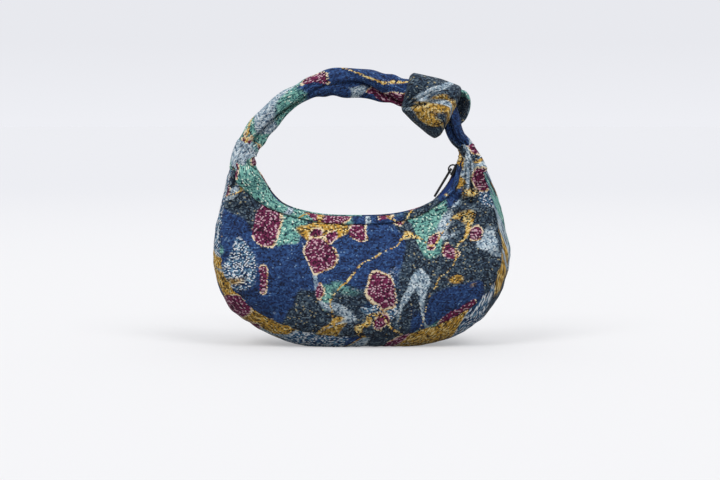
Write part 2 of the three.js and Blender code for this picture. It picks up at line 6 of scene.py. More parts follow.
import bpy
import numpy as np
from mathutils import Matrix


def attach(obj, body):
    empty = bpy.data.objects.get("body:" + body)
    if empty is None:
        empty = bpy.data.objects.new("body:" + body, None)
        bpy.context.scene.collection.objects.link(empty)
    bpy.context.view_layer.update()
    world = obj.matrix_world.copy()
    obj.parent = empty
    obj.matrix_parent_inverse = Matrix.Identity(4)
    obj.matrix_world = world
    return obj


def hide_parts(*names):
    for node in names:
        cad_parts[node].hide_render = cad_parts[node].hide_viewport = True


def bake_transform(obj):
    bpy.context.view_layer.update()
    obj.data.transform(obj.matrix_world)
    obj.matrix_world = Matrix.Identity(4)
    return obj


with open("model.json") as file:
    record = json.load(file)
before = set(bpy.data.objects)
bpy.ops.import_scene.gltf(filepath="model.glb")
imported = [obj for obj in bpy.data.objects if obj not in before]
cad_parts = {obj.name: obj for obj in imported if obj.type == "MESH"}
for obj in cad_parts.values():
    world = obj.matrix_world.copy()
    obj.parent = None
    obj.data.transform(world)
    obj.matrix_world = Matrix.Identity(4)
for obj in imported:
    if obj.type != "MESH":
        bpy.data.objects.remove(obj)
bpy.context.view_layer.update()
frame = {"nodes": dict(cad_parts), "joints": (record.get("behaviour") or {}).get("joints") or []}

# Studio: a pale seamless floor under an even pale sky, with a broad soft light high up on either side.
# The camera looks at the front from a little above the middle of the bag, through a long lens.
LENS_MM = 85
SENSOR_MM = 36
PICTURE_WIDTH = 0.6336
PICTURE_CENTRE = (-0.0009, 0.0, 0.092)
CAMERA_TILT = math.radians(4)
CAMERA_CLIP = 0.05
FLOOR_REACH = 60
FLOOR_NEAR = (0.788, 0.788, 0.801, 1)
FLOOR_FAR = (0.72, 0.725, 0.754, 1)
FLOOR_FADE_MIDDLE = 2.0
FLOOR_FADE_REACH = 2.0
FLOOR_BOUNCE = (0.2, 0.2, 0.2, 1)
FLOOR_GLOW = 0.35
FLOOR_LIGHT = 1.186
FLOOR_ROUGHNESS = 0.9
DARK = (0, 0, 0, 1)
SKY_LIGHT = (0.98, 0.985, 1.0, 1)
SKY_LEVEL = 0.62
SKY_OVERHEAD = 0.17
SKY_LOW = (0.855, 0.863, 0.905, 1)
SKY_HIGH = (0.807, 0.815, 0.857, 1)
SKY_FADE_HEIGHT = 0.045
SUN_STRENGTH = 0.95
SUN_ANGLE = math.radians(25)
SUN_TILT = math.radians(28)
SUN_SPREAD = math.radians(32)


def set_camera():
    """The camera stands back until the picture's width at the bag is the one that is wanted."""
    lens = bpy.data.cameras.new("camera")
    lens.lens = LENS_MM
    lens.sensor_width = SENSOR_MM
    lens.clip_start = CAMERA_CLIP
    lens.clip_end = 3 * FLOOR_REACH
    distance = PICTURE_WIDTH * LENS_MM / SENSOR_MM
    camera = bpy.data.objects.new("camera", lens)
    x, y, z = PICTURE_CENTRE
    camera.location = (x, y - distance * math.cos(CAMERA_TILT), z + distance * math.sin(CAMERA_TILT))
    camera.rotation_euler = (math.pi / 2 - CAMERA_TILT, 0, 0)
    bpy.context.scene.collection.objects.link(camera)
    bpy.context.scene.camera = camera


class Socket:
    """An output of a node tree. Arithmetic on it adds Math nodes, and node() adds any other node."""

    def __init__(self, tree, output):
        self.tree = tree
        self.output = output

    def node(self, kind, settings, values, output=0):
        """A node of that kind: its settings are set first, then its inputs get values or links."""
        made = self.tree.nodes.new(kind)
        for key, value in settings.items():
            if key == "stops":
                ramp = made.color_ramp
                ramp.interpolation = "CONSTANT"
                while len(ramp.elements) < len(value):
                    ramp.elements.new(1)
                for element, (place, colour) in zip(ramp.elements, value):
                    element.position = place
                    element.color = colour
            else:
                setattr(made, key, value)
        for key, value in values.items():
            if isinstance(value, Socket):
                self.tree.links.new(value.output, made.inputs[key])
            else:
                made.inputs[key].default_value = value
        return Socket(self.tree, made.outputs[output])

    def math(self, operation, *values):
        """A Math node on this and other values."""
        return self.node("ShaderNodeMath", {"operation": operation}, dict(enumerate((self, *values))))

    def __add__(self, other):
        return self.math("ADD", other)

    def __sub__(self, other):
        return self.math("SUBTRACT", other)

    def __rsub__(self, other):
        return (self * -1) + other

    def __mul__(self, other):
        return self.math("MULTIPLY", other)

    def __truediv__(self, other):
        return self.math("DIVIDE", other)

    __radd__ = __add__
    __rmul__ = __mul__

    def vector(self, operation, *values):
        """A Vector Math node on this and other values."""
        settings = {"operation": operation}
        return self.node("ShaderNodeVectorMath", settings, dict(enumerate((self, *values))))

    def above(self, edge, softness):
        """0 well below the edge and 1 well above it, with a smooth step of that half width between."""
        values = {"Value": self, "From Min": edge - softness, "From Max": edge + softness}
        return self.node("ShaderNodeMapRange", {"interpolation_type": "SMOOTHSTEP"}, values)

    def mix(self, low, high):
        """The colour low where this is 0 and high where it is 1."""
        settings = {"data_type": "RGBA", "clamp_factor": True}
        return self.node("ShaderNodeMix", settings, {0: self, 6: low, 7: high}, 2)

    def part(self, index):
        """The x, y or z of a vector, by its number."""
        return self.node("ShaderNodeSeparateXYZ", {}, {0: self}, index)

    def noise(self, scale, detail, output=0):
        """Smooth noise at this place: output 0 is a number, output 1 a vector."""
        values = {"Vector": self, "Scale": scale, "Detail": detail}
        return self.node("ShaderNodeTexNoise", {}, values, output)

    def beside(self, output):
        """Another output of the same node."""
        return Socket(self.tree, self.output.node.outputs[output])

    def feed(self, shader, name):
        """Links this to an input of a shader."""
        self.tree.links.new(self.output, shader.inputs[name])


def seen_directly(tree):
    """1 for rays that show a surface to the camera, straight or through gloss or glass, 0 for the rest."""
    straight = Socket(tree, tree.nodes.new("ShaderNodeLightPath").outputs["Is Camera Ray"])
    by_gloss, by_glass = straight.beside("Is Glossy Ray"), straight.beside("Is Transmission Ray")
    return straight.math("MAXIMUM", by_gloss).math("MAXIMUM", by_glass)


def light_studio():
    """Sets the sky: it shows colours of its own, which fade upwards, and its light is even, with a little
    more from overhead."""
    world = bpy.data.worlds.new("studio_sky")
    world.use_nodes = True
    bpy.context.scene.world = world
    tree = world.node_tree
    tree.nodes.clear()
    seen = seen_directly(tree)
    height = seen.node("ShaderNodeTexCoord", {}, {}, "Generated").part(2)
    backdrop = (height / SKY_FADE_HEIGHT).math("MAXIMUM", 0).math("MINIMUM", 1).mix(SKY_LOW, SKY_HIGH)
    shown = seen.node("ShaderNodeBackground", {}, {"Color": backdrop, "Strength": 1})
    strength = height.math("MAXIMUM", 0) * SKY_OVERHEAD + SKY_LEVEL
    light = seen.node("ShaderNodeBackground", {}, {"Color": SKY_LIGHT, "Strength": strength})
    sky = seen.node("ShaderNodeMixShader", {}, {0: seen, 1: light, 2: shown})
    sky.feed(tree.nodes.new("ShaderNodeOutputWorld"), "Surface")


def lay_floor():
    """A flat pale floor, large enough to meet the sky far away. Round the bag it is a little paler, it
    throws less light back at the bag than it shows, and a share of its tone glows, which softens the shadow
    that it keeps."""
    reach = FLOOR_REACH
    corners = [(-reach, -reach, 0), (reach, -reach, 0), (reach, reach, 0), (-reach, reach, 0)]
    mesh = bpy.data.meshes.new("floor")
    mesh.from_pydata(corners, [], [(0, 1, 2, 3)])
    floor = bpy.data.objects.new("floor", mesh)
    bpy.context.scene.collection.objects.link(floor)
    paper = bpy.data.materials.new("floor_paper")
    paper.use_nodes = True
    tree = paper.node_tree
    shader = tree.nodes["Principled BSDF"]
    place = Socket(tree, tree.nodes.new("ShaderNodeTexCoord").outputs["Object"])
    away = place.node("ShaderNodeVectorMath", {"operation": "LENGTH"}, {0: place}, 1)
    shown = away.above(FLOOR_FADE_MIDDLE, FLOOR_FADE_REACH).mix(FLOOR_NEAR, FLOOR_FAR)
    seen = seen_directly(tree)
    lit = shown.vector("MULTIPLY", (1 - FLOOR_GLOW,) * 3)
    glow = shown.vector("MULTIPLY", (FLOOR_GLOW * FLOOR_LIGHT,) * 3)
    seen.mix(FLOOR_BOUNCE, lit).feed(shader, "Base Color")
    seen.mix(DARK, glow).feed(shader, "Emission Color")
    shader.inputs["Emission Strength"].default_value = 1
    shader.inputs["Roughness"].default_value = FLOOR_ROUGHNESS
    shader.inputs["Specular IOR Level"].default_value = 0.0
    mesh.materials.append(paper)


set_camera()
light_studio()
lay_floor()
for name, turn in (("left_light", -SUN_SPREAD), ("right_light", SUN_SPREAD)):
    sun = bpy.data.lights.new(name, "SUN")
    sun.energy = SUN_STRENGTH
    sun.angle = SUN_ANGLE
    lamp = bpy.data.objects.new(name, sun)
    lamp.rotation_euler = (SUN_TILT, turn, 0)
    bpy.context.scene.collection.objects.link(lamp)
bpy.context.scene.view_settings.view_transform = "Standard"

# Gusset: one strip of the figured cloth round both sides and the bottom, sewn between the two walls.
# It swells out past its seams, puckers along them, and lies flat on the floor under the bag.
ARC_CENTRE = np.array(next(j for j in frame["joints"] if j["name"] == "slider_travel")["pos_m"])
ZIP_RADIUS = 0.098
END_ANGLE = 69.9
BAG_WIDTH = 0.26
BELLY_HEIGHT = 0.078
BELLY_DROP = 0.082
OUTLINE_POWER = 2.3
NECK_HEIGHT = 0.166
NECK_SHIFT = -0.004
NECK_WALL = 0.0155
SHOULDER_POWER = 1.6
BASE_DEPTH = 0.06
NECK_DEPTH = 0.018
TAPER_START = 25
CORNER_ANGLE = 30
CORNER_SPREAD = 14
SEAM_INSET_NECK = 0.003
SEAM_INSET_BASE = 0.01
SEAM_INSET_CORNER = 0.004
SEAM_GAP = 0.0004
CLOTH = 0.0018
OUTLINE_HALVINGS = 40
GUSSET_COLUMNS = 281
GUSSET_ROWS = 37
GUSSET_MAP_START = 0.3
SEAM_GROOVE = 0.0016
GUSSET_GROOVE_WIDTH = 0.0022
# Puckers: their height, how far they reach from the seam, and the length of one.
GUSSET_PUCKERS = (0.0007, 0.008, 0.012)
PUCKER_LEAN = 0.004
GUSSET_WAVE = 0.0006
GUSSET_WAVE_LENGTH = 0.021
GUSSET_WAVE_LEAN = 2.1
# Each fold: its angle, its spread in degrees, and how far it lifts the cloth.
GUSSET_FOLDS = (
    (-56, 9, -0.003), (-22, 5, -0.0012), (27, 6, 0.0018), (-52, 2.2, 0.0012), (-41, 1.6, -0.0012),
    (-33, 1.5, 0.0016), (-27, 1.2, -0.0012), (64, 9, 0.003), (34, 1.8, 0.0012), (44, 1.5, -0.0011),
    (51, 1.7, 0.0018), (55, 1.2, -0.0012))
FOLD_LEAN = 2.5
FOLD_FADE = 0.5
# Yarns of each figure, from the darkest: the random number at which a colour begins, and the colour.
NAVY = ((0.0, (12, 19, 38)), (0.22, (27, 44, 82)), (0.46, (42, 70, 120)), (0.72, (60, 94, 146)),
        (0.9, (112, 142, 178)), (0.985, (172, 148, 98)))
COAL = ((0.0, (10, 16, 28)), (0.26, (36, 50, 67)), (0.55, (62, 80, 98)), (0.8, (106, 122, 132)),
        (0.94, (168, 158, 124)))
PLUM = ((0.0, (38, 9, 31)), (0.3, (88, 24, 58)), (0.5, (122, 43, 82)), (0.72, (206, 170, 182)))
MINT = ((0.0, (16, 40, 52)), (0.2, (58, 104, 108)), (0.42, (110, 168, 158)), (0.7, (152, 202, 188)),
        (0.86, (224, 238, 222)))
GOLD = ((0.0, (32, 30, 30)), (0.22, (124, 96, 46)), (0.46, (202, 156, 66)), (0.72, (238, 216, 152)))
PALE = ((0.0, (62, 82, 106)), (0.16, (132, 154, 172)), (0.5, (180, 197, 208)), (0.8, (218, 227, 232)))
HATCH = ((0.0, (16, 32, 62)), (0.3, (44, 78, 116)), (0.5, (112, 148, 174)), (0.66, (226, 231, 236)))
CREAM = ((0.0, (176, 136, 88)), (0.35, (236, 218, 184)))
# Each figure: its name, its yarns, the scale and shift of its noise, and how far veins mark it.
FIGURES = (("coal", COAL, 8, 1.3, 0.1), ("mint", MINT, 12, 4.1, 0.4),
           ("hatch", HATCH, 10, 7.7, 0.45), ("gold", GOLD, 14, 2.9, 0.45))
FIGURE_EDGE = 0.008
# Drifts: the scale of the noise, and how far it carries a place, in metres.
FIGURE_DRIFT = ((13, 0.06), (38, 0.014))
VEIN_DRIFT = ((26, 0.034), (110, 0.009))
VEIN_SHIFT = 2.2
VEIN = 0.0023
# Petals: how many there are to a metre, the share that is shown, and the half width of their outline.
PETALS = ((52, 0.7, 0.036), (24, 1.0, 0.018))
PETAL_REACH = 0.35
PETAL_OUTLINE = 0.36
PETAL_WOBBLE = 0.56
PETAL_RAGGED = 1.4
PETAL_SHIFT = 5.5
# Fields of noise for the ground's clouds, the scrolls and the thin lines: scale and shift.
GROUND_CLOUDS = (7, 9.4)
SCROLL_LINES = (11, 3.3)
SCROLL_WIDTHS = (15, 6.1)
TRACE_LINES = (9, 8.3)
SHIFT_WAY = (1.0, 1.7, 0.6)
CLOUD_WAVE = 0.03
SCROLL_SWELL = 0.1
SCROLL_LESS = 0.04
SCROLL_EDGE = 0.003
TRACE_LEVEL = 0.46
TRACE_EDGE = 0.0015
YARN_FLOAT = 0.0013
YARN_ROW = 0.001
LONG_FLOAT = 0.007
YARN_LEAN = 0.37
YARN_RELIEF = 0.00035
CLOTH_GLOSS = 0.2


def linear(colour):
    """A colour of 0 to 255 steps on a screen, as the linear light that a shader takes."""
    share = np.array(colour) / 255
    light = np.where(share <= 0.04045, share / 12.92, ((share + 0.055) / 1.055) ** 2.4)
    return (*light.tolist(), 1.0)


def cloth_material(name):
    """A dull material, its shader, and the map of its cloth in metres."""
    material = bpy.data.materials.new(name)
    material.use_nodes = True
    tree = material.node_tree
    shader = tree.nodes["Principled BSDF"]
    shader.inputs["Specular IOR Level"].default_value = CLOTH_GLOSS
    uv_node = tree.nodes.new("ShaderNodeUVMap")
    uv_node.uv_map = "cloth"
    return material, shader, Socket(tree, uv_node.outputs[0])


def tapestry(name, seed, coal=0.55, mint=0.68, plum=0.24, gold=0.68, hatch=0.68, line=0.004, stretch=1.0):
    """Figured weave. Each yarn float is a cell of the cloth's map with one random number, and longer floats
    streak the ground. Drifting noise gives each cell a figure: ground, patches, ringed petals, scrolls or
    thin lines. Each figure has its own row of yarn colours, and the cell's random number, pushed by veins
    that wander with the same noise, picks one of them."""
    edges = {"coal": coal, "mint": mint, "hatch": hatch, "gold": gold}
    material, shader, uv = cloth_material(name)
    u, v = uv.part(0), uv.part(1)
    row = (v / YARN_ROW).math("FLOOR")

    def floats(length):
        """Cells of that length, shifted from row to row: their columns, and a random number for each."""
        column = (u / length + row * YARN_LEAN).math("FLOOR")
        cell = uv.node("ShaderNodeCombineXYZ", {}, {0: column, 1: row, 2: seed})
        return column, uv.node("ShaderNodeTexWhiteNoise", {"noise_dimensions": "3D"}, {"Vector": cell})

    column, yarn = floats(YARN_FLOAT)
    _, long_yarn = floats(LONG_FLOAT)
    place = uv.node("ShaderNodeCombineXYZ", {}, {
        0: (column - row * YARN_LEAN) * (YARN_FLOAT / stretch), 1: row * YARN_ROW, 2: seed * 0.37})
    for scale, reach in FIGURE_DRIFT:
        drift = place.noise(scale, 1, 1).vector("SUBTRACT", (0.5, 0.5, 0.5))
        place = place.vector("ADD", drift.vector("MULTIPLY", (reach,) * 3))

    def patches(scale, shift):
        """Drifting noise between 0 and 1, from a place of its own."""
        return place.vector("ADD", tuple(way * shift for way in SHIFT_WAY)).noise(scale, 1.5)

    def yarns(colours, push):
        """The colour that a number between 0 and 1 picks from a row of yarns."""
        stops = [(at, linear(colour)) for at, colour in colours]
        return uv.node("ShaderNodeValToRGB", {"stops": stops}, {0: push})

    def waves(field, length):
        """A sine of a field, between 0 and 1, that repeats after that length."""
        return (field * (2 * math.pi / length)).math("SINE") * 0.5 + 0.5

    vein_place = place.part(1)
    for scale, reach in VEIN_DRIFT:
        vein_place = vein_place + patches(scale, VEIN_SHIFT) * reach
    veins = waves(vein_place, VEIN)
    clouds = waves(patches(*GROUND_CLOUDS), CLOUD_WAVE)
    colour = yarns(NAVY, yarn * 0.6 + long_yarn * 0.24 + clouds * 0.16)
    for key, colours, scale, shift, lines in FIGURES:
        inner = yarns(colours, yarn * (1 - lines) + veins * lines)
        colour = patches(scale, shift).above(edges[key], FIGURE_EDGE).mix(colour, inner)
    width = patches(*SCROLL_WIDTHS) * SCROLL_SWELL - SCROLL_LESS
    from_scroll = (patches(*SCROLL_LINES) - 0.5).math("ABSOLUTE")
    scroll = 1 - (from_scroll - width).above(0, SCROLL_EDGE)
    colour = scroll.mix(colour, yarns(PALE, yarn))
    for scale, share, edge in PETALS:
        middle = uv.node("ShaderNodeTexVoronoi", {"voronoi_dimensions": "2D"},
                         {"Vector": place, "Scale": scale}, "Distance")
        reach = middle + patches(PETAL_RAGGED * scale, PETAL_SHIFT) * PETAL_WOBBLE - PETAL_WOBBLE / 2
        kind = uv.node("ShaderNodeSeparateColor", {}, {0: middle.beside("Color")})
        chosen = 1 - kind.above(share * plum, 0.001)
        petal = chosen * (1 - reach.above(PETAL_REACH, 0.01))
        outline = chosen * (1 - (reach - PETAL_OUTLINE).math("ABSOLUTE").above(edge, 0.006))
        colour = petal.mix(colour, yarns(PLUM, yarn * 0.6 + veins * 0.4))
        colour = (outline * yarn.above(0.16, 0.01)).mix(colour, yarns(CREAM, yarn))
    trace = 1 - (patches(*TRACE_LINES) - TRACE_LEVEL).math("ABSOLUTE").above(line, TRACE_EDGE)
    colour = (trace * yarn.above(0.3, 0.01)).mix(colour, yarns(GOLD, yarn * 0.5 + 0.4))
    colour.feed(shader, "Base Color")

    along = (u / YARN_FLOAT + row * YARN_LEAN).math("FRACT") * 2 - 1
    over = (v / YARN_ROW).math("FRACT") * 2 - 1
    crown = (1 - over * over) * 0.7 + (1 - along * along) * 0.3
    relief = crown * (yarn * 0.5 + 0.5)
    bump = uv.node("ShaderNodeBump", {}, {"Strength": 0.9, "Distance": YARN_RELIEF, "Height": relief})
    bump.feed(shader, "Normal")
    (yarn * 0.14 + 0.8).feed(shader, "Roughness")
    shader.inputs["Sheen Weight"].default_value = 0.06
    shader.inputs["Sheen Roughness"].default_value = 0.5
    return material


def smoothstep(x, low, high):
    """0 below low and 1 above high, with a smooth cubic step between."""
    t = np.clip((x - low) / (high - low), 0, 1)
    return t * t * (3 - 2 * t)


def mix(a, b, share):
    """Goes from a to b as the share goes from 0 to 1."""
    return a + (b - a) * share


def polar(radius, angle, depth):
    """Points by distance from the zip arc's centre, angle in degrees from straight down, and y."""
    a = np.radians(angle)
    x = ARC_CENTRE[0] + radius * np.sin(a)
    z = ARC_CENTRE[2] - radius * np.cos(a)
    return np.stack(np.broadcast_arrays(x, depth, z), -1)


def outline_radius(angle):
    """Distance from the arc's centre to the bag's outline, found by halving: a point is inside where the
    powers of its shares of the belly's half width and drop add up to less than 1, or, above the belly,
    where it is nearer the middle than shoulders that draw in to the necks."""
    half = BAG_WIDTH / 2
    neck = ZIP_RADIUS * math.sin(math.radians(END_ANGLE)) + NECK_WALL
    inside = np.full(np.shape(angle), ZIP_RADIUS)
    outside = inside + BAG_WIDTH
    for _ in range(OUTLINE_HALVINGS):
        middle = (inside + outside) / 2
        x, _, z = np.moveaxis(polar(middle, angle, 0.0), -1, 0)
        down = np.clip(BELLY_HEIGHT - z, 0, None) / BELLY_DROP
        climb = np.clip(z - BELLY_HEIGHT, 0, None) / (NECK_HEIGHT - BELLY_HEIGHT)
        in_belly = (np.abs(x) / half) ** OUTLINE_POWER + down ** OUTLINE_POWER <= 1
        in_shoulder = np.abs(x - NECK_SHIFT * climb) <= half - (half - neck) * climb ** SHOULDER_POWER
        within = np.where(z <= BELLY_HEIGHT, in_belly, in_shoulder)
        inside = np.where(within, middle, inside)
        outside = np.where(within, outside, middle)
    return inside


def middle_share(angle):
    """1 in the middle of the bag, falling as a parabola to 0 at both ends."""
    return np.clip(1 - (angle / END_ANGLE) ** 2, 0, None)


def seam_inset(angle):
    """How far a seam lies inside the outline: a parabola under the base, a bell at each lower corner."""
    corner = np.exp(-(((np.abs(angle) - CORNER_ANGLE) / CORNER_SPREAD) ** 2))
    return SEAM_INSET_NECK + SEAM_INSET_BASE * middle_share(angle) + SEAM_INSET_CORNER * corner


def seam_radius(angle):
    """A seam's distance from the arc's centre: the outline's, less the inset."""
    return outline_radius(angle) - seam_inset(angle)


def gusset_half_depth(angle):
    """Half the gusset's width, which tapers by a smooth step from the base to the necks."""
    return mix(BASE_DEPTH, NECK_DEPTH, smoothstep(np.abs(angle), TAPER_START, END_ANGLE)) / 2


def ripple(distance, length):
    """Uneven puckers along a seam: a wave whose length drifts, between -1 and 1."""
    turn = 2 * math.pi * distance / length
    return np.sin(turn + 1.4 * np.sin(0.31 * turn) + 0.8 * np.sin(0.13 * turn + 1))


def puckers(from_seam, along, height, fade, length):
    """Ripples beside a seam, which die away with the exponential of the distance to it."""
    return height * np.exp(-from_seam / fade) * ripple(along, length)


def run_length(points):
    """Distance along the first axis of a grid of points, from its start."""
    steps = np.linalg.norm(np.diff(points, axis=0), axis=-1)
    return np.concatenate([np.zeros((1, *steps.shape[1:])), np.cumsum(steps, axis=0)])


def grid_faces(columns, rows, start=0):
    """Corner numbers of the four-cornered faces of a grid of points that is stored column by column."""
    corner = start + (np.arange(columns - 1)[:, None] * rows + np.arange(rows - 1)).ravel()
    return np.stack([corner, corner + rows, corner + rows + 1, corner + 1], -1)


def piece_of(name, points, faces, cloth_map, map_faces=None):
    """A smooth piece from points, faces and a map of its cloth in metres; its faces are turned outwards."""
    a, b, c, d = (points[faces[:, k]] for k in range(4))
    inside_out = (np.cross(b - a, c - a) * a).sum() + (np.cross(c - a, d - a) * a).sum() < 0
    map_faces = faces if map_faces is None else map_faces
    if inside_out:
        faces, map_faces = faces[:, ::-1], map_faces[:, ::-1]
    mesh = bpy.data.meshes.new(name)
    mesh.from_pydata(points.tolist(), [], faces.tolist())
    uv = mesh.uv_layers.new(name="cloth")
    uv.data.foreach_set("uv", cloth_map[map_faces.ravel()].astype(np.float32).ravel())
    mesh.polygons.foreach_set("use_smooth", np.ones(len(faces), bool))
    piece = bpy.data.objects.new(name, mesh)
    bpy.context.scene.collection.objects.link(piece)
    return piece


def thick_sheet(name, outer, inner, cloth_map):
    """Cloth between two matching grids of points, closed round its four edges."""
    columns, rows = outer.shape[:2]
    count = columns * rows
    number = np.arange(count).reshape(columns, rows)
    rim = np.concatenate([number[:-1, 0], number[-1, :-1], number[:0:-1, -1], number[0, :0:-1]])
    follow = np.roll(rim, -1)
    faces = np.concatenate([
        grid_faces(columns, rows),
        grid_faces(columns, rows, count)[:, ::-1],
        np.stack([rim, rim + count, follow + count, follow], -1),
    ])
    points = np.concatenate([outer.reshape(-1, 3), inner.reshape(-1, 3)])
    return piece_of(name, points, faces, np.tile(cloth_map.reshape(-1, 2), (2, 1)))


def finish_piece(piece, material, slot, *nodes):
    """Gives a piece its material and hides the CAD nodes that it stands for."""
    piece.data.materials.append(material)
    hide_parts(*nodes)
    return piece


def gusset_grid(columns, rows, inward, end_angle=END_ANGLE):
    """The gusset's face at a distance inside its outer one: from each seam it swells out by the seam's
    inset, as one less the fourth power of the share of its half depth, and it stays above the floor."""
    angle = np.linspace(-end_angle, end_angle, columns)[:, None]
    across = np.linspace(-1, 1, rows)[None, :]
    swell = seam_inset(angle) * (1 - across ** 4)
    depth = (gusset_half_depth(angle) - inward - SEAM_GAP) * across
    points = polar(seam_radius(angle) - inward + swell, angle, depth)
    points[..., 2] = np.maximum(points[..., 2], inward)
    return angle, across, points


def gusset_cloth():
    """The outer face moves along its radius: puckers and a groove at both seams, soft folds across it."""
    angle, across, inner = gusset_grid(GUSSET_COLUMNS, GUSSET_ROWS, CLOTH)
    outer = gusset_grid(GUSSET_COLUMNS, GUSSET_ROWS, 0.0)[2]
    along = run_length(outer)
    from_seam = (1 - np.abs(across)) * gusset_half_depth(angle)
    lift = puckers(from_seam, along + PUCKER_LEAN * across, *GUSSET_PUCKERS)
    lift = lift - SEAM_GROOVE * np.exp(-((from_seam / GUSSET_GROOVE_WIDTH) ** 2))
    for place, spread, height in GUSSET_FOLDS:
        lean = place + FOLD_LEAN * across
        lift = lift + height * np.exp(-(((angle - lean) / spread) ** 2)) * (1 - FOLD_FADE * across ** 2)
    lift = lift + GUSSET_WAVE * np.sin(along / GUSSET_WAVE_LENGTH + GUSSET_WAVE_LEAN * across)
    outward = polar(1.0, angle, 0.0) - polar(0.0, angle, 0.0)
    outer = outer + outward * lift[..., None]
    outer[..., 2] = np.maximum(outer[..., 2], 0.0)
    over = run_length(np.swapaxes(outer, 0, 1)).T
    cloth_map = np.stack([along + GUSSET_MAP_START, over - over[:, -1:] / 2], -1)
    return thick_sheet("gusset_cloth", outer, inner, cloth_map)


gusset = gusset_cloth()
finish_piece(gusset, tapestry("gusset_weave", 21.3, coal=0.56, mint=0.57, plum=0.16, gold=0.53, hatch=0.52),
             "tapestry", "gusset_panel")
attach(gusset, "bag")

# Walls: the front and the back, each cut from one piece of the figured cloth and turned over fleece.
# They are gathered at the two necks, pucker along the gusset seam and sag a little between the seams.
FRONT = -1
BACK = 1
RIM_RISE_END = 0.002
RIM_RISE_MIDDLE = 0.0125
RIM_RISE_SPAN = 52
RIM_DEPTH_END = 0.017
RIM_DEPTH_MIDDLE = 0.024
WALL_BULGE = 0.014
BULGE_SKEW = 0.85
BULGE_FADE = 1.2
BAND_WIDTH = 0.0068
BAND_NARROW = 0.0024
BAND_NARROWS = (34, 50)
BAND_TUCK = 0.0014
LEAF_WIDTH = 0.0112
LEAF_WIDENS = (36, 62)
LEAF_TIP = 0.003
LEAF_NARROWS = (62, 71)
# Each dip of a rim: its angle, its spread in degrees, and its drop.
RIM_DIPS = {FRONT: ((54, 8.5, 0.0046), (-43, 10, 0.0024)), BACK: ((47, 12, 0.0025), (-43, 10, 0.0024))}
WALL_COLUMNS = 301
WALL_ROWS = 97
SETTLE_STEP = 3
SETTLE_QUALITY = 6
SETTLE_MASS = 0.1
SETTLE_BENDING = 1.5
SETTLE_DAMPING = 5
SETTLE_GROWTH = 0.02
SETTLE_PRESSURE = 2.0
SETTLE_FRAMES = 20
SETTLE_EVENED = 2
SETTLE_CAP = 0.0024
WALL_PUCKERS = (0.0009, 0.011, 0.014)
WALL_GROOVE_WIDTH = 0.0024
BAND_PUCKERS = (0.0007, 0.007, 0.011)
BAND_CLEAR = (-0.001, 0.006)
BAND_STEP = 0.0012
BAND_STEP_REACH = 0.003
DEEPEST_HOLLOW = 0.0015
RIGHT_PLEATS = 6.2
RIGHT_PLEAT_HEIGHT = 0.0062
RIGHT_PLEAT_SINK = 0.32
RIGHT_PLEATS_GROW = (48, 62)
RIGHT_PLEATS_RISE = (0.15, 0.5)
LEFT_PLEATS = 4.2
LEFT_PLEAT_HEIGHT = 0.0042
LEFT_PLEAT_SINK = 0.4
LEFT_PLEAT_SHIFT = 0.35
LEFT_PLEATS_GROW = (44, END_ANGLE)
PLEAT_SWAY = 0.12
PLEAT_SWAY_LENGTH = 6
PLEAT_SIDE_SHIFT = 0.2
PLEAT_ROUNDING = 0.7
# Each fold: the x and height of both ends of its line, how far it lifts the cloth, and its half width.
WALL_FOLDS = {
    FRONT: (
        (-0.112, 0.056, -0.098, 0.036, -0.0017, 0.0028),
        (-0.116, 0.064, -0.080, 0.040, 0.0024, 0.0080),
        (-0.098, 0.132, -0.056, 0.088, 0.0018, 0.0080),
        (-0.108, 0.126, -0.084, 0.082, -0.0010, 0.0060),
        (-0.110, 0.146, -0.101, 0.133, -0.0022, 0.0028),
        (-0.115, 0.140, -0.106, 0.126, 0.0030, 0.0042),
        (0.074, 0.132, 0.094, 0.1245, -0.0030, 0.0026),
        (0.070, 0.127, 0.100, 0.1175, 0.0040, 0.0054),
        (0.080, 0.139, 0.098, 0.131, 0.0028, 0.0040),
        (0.078, 0.116, 0.050, 0.090, 0.0016, 0.0080),
        (0.121, 0.089, 0.098, 0.083, 0.0019, 0.0060),
        (0.122, 0.081, 0.100, 0.076, -0.0012, 0.0030),
        (-0.050, 0.022, 0.030, 0.015, 0.0014, 0.0070),
        (0.040, 0.020, 0.088, 0.040, 0.0013, 0.0080),
    ),
    BACK: (
        (-0.117, 0.060, -0.070, 0.034, 0.0020, 0.0080),
        (-0.098, 0.136, -0.050, 0.084, 0.0017, 0.0085),
        (0.088, 0.132, 0.044, 0.088, 0.0018, 0.0085),
        (0.116, 0.058, 0.074, 0.032, 0.0020, 0.0075),
        (0.110, 0.050, 0.082, 0.027, -0.0010, 0.0040),
        (-0.040, 0.018, 0.050, 0.017, 0.0013, 0.0070),
    ),
}


def rim_radius(angle):
    """The rim's distance from the arc's centre: in the middle it rises above the arc by half a cosine."""
    share = 1 - np.clip(np.abs(angle) / RIM_RISE_SPAN, 0, 1)
    return ZIP_RADIUS - RIM_RISE_END - RIM_RISE_MIDDLE * (0.5 - 0.5 * np.cos(math.pi * share))


def rim_half_depth(angle):
    """Half the mouth's width: a parabola from the ends to the middle."""
    return mix(RIM_DEPTH_END, RIM_DEPTH_MIDDLE, middle_share(angle)) / 2


def wall_point(angle, v, inward, side):
    """A point of a wall: from the seam, where v is 0, to the rim, where it is 1, it goes straight in radius
    and in depth, and swells outwards by a half sine that is fullest in the lower middle."""
    radius = mix(seam_radius(angle) - inward, rim_radius(angle), v)
    swell = WALL_BULGE * middle_share(angle) ** BULGE_FADE
    swell = swell * np.sin(math.pi * np.clip(v, 0, 1) ** BULGE_SKEW)
    depth = mix(gusset_half_depth(angle), rim_half_depth(angle), v) - inward + swell
    return polar(radius, angle, side * depth)


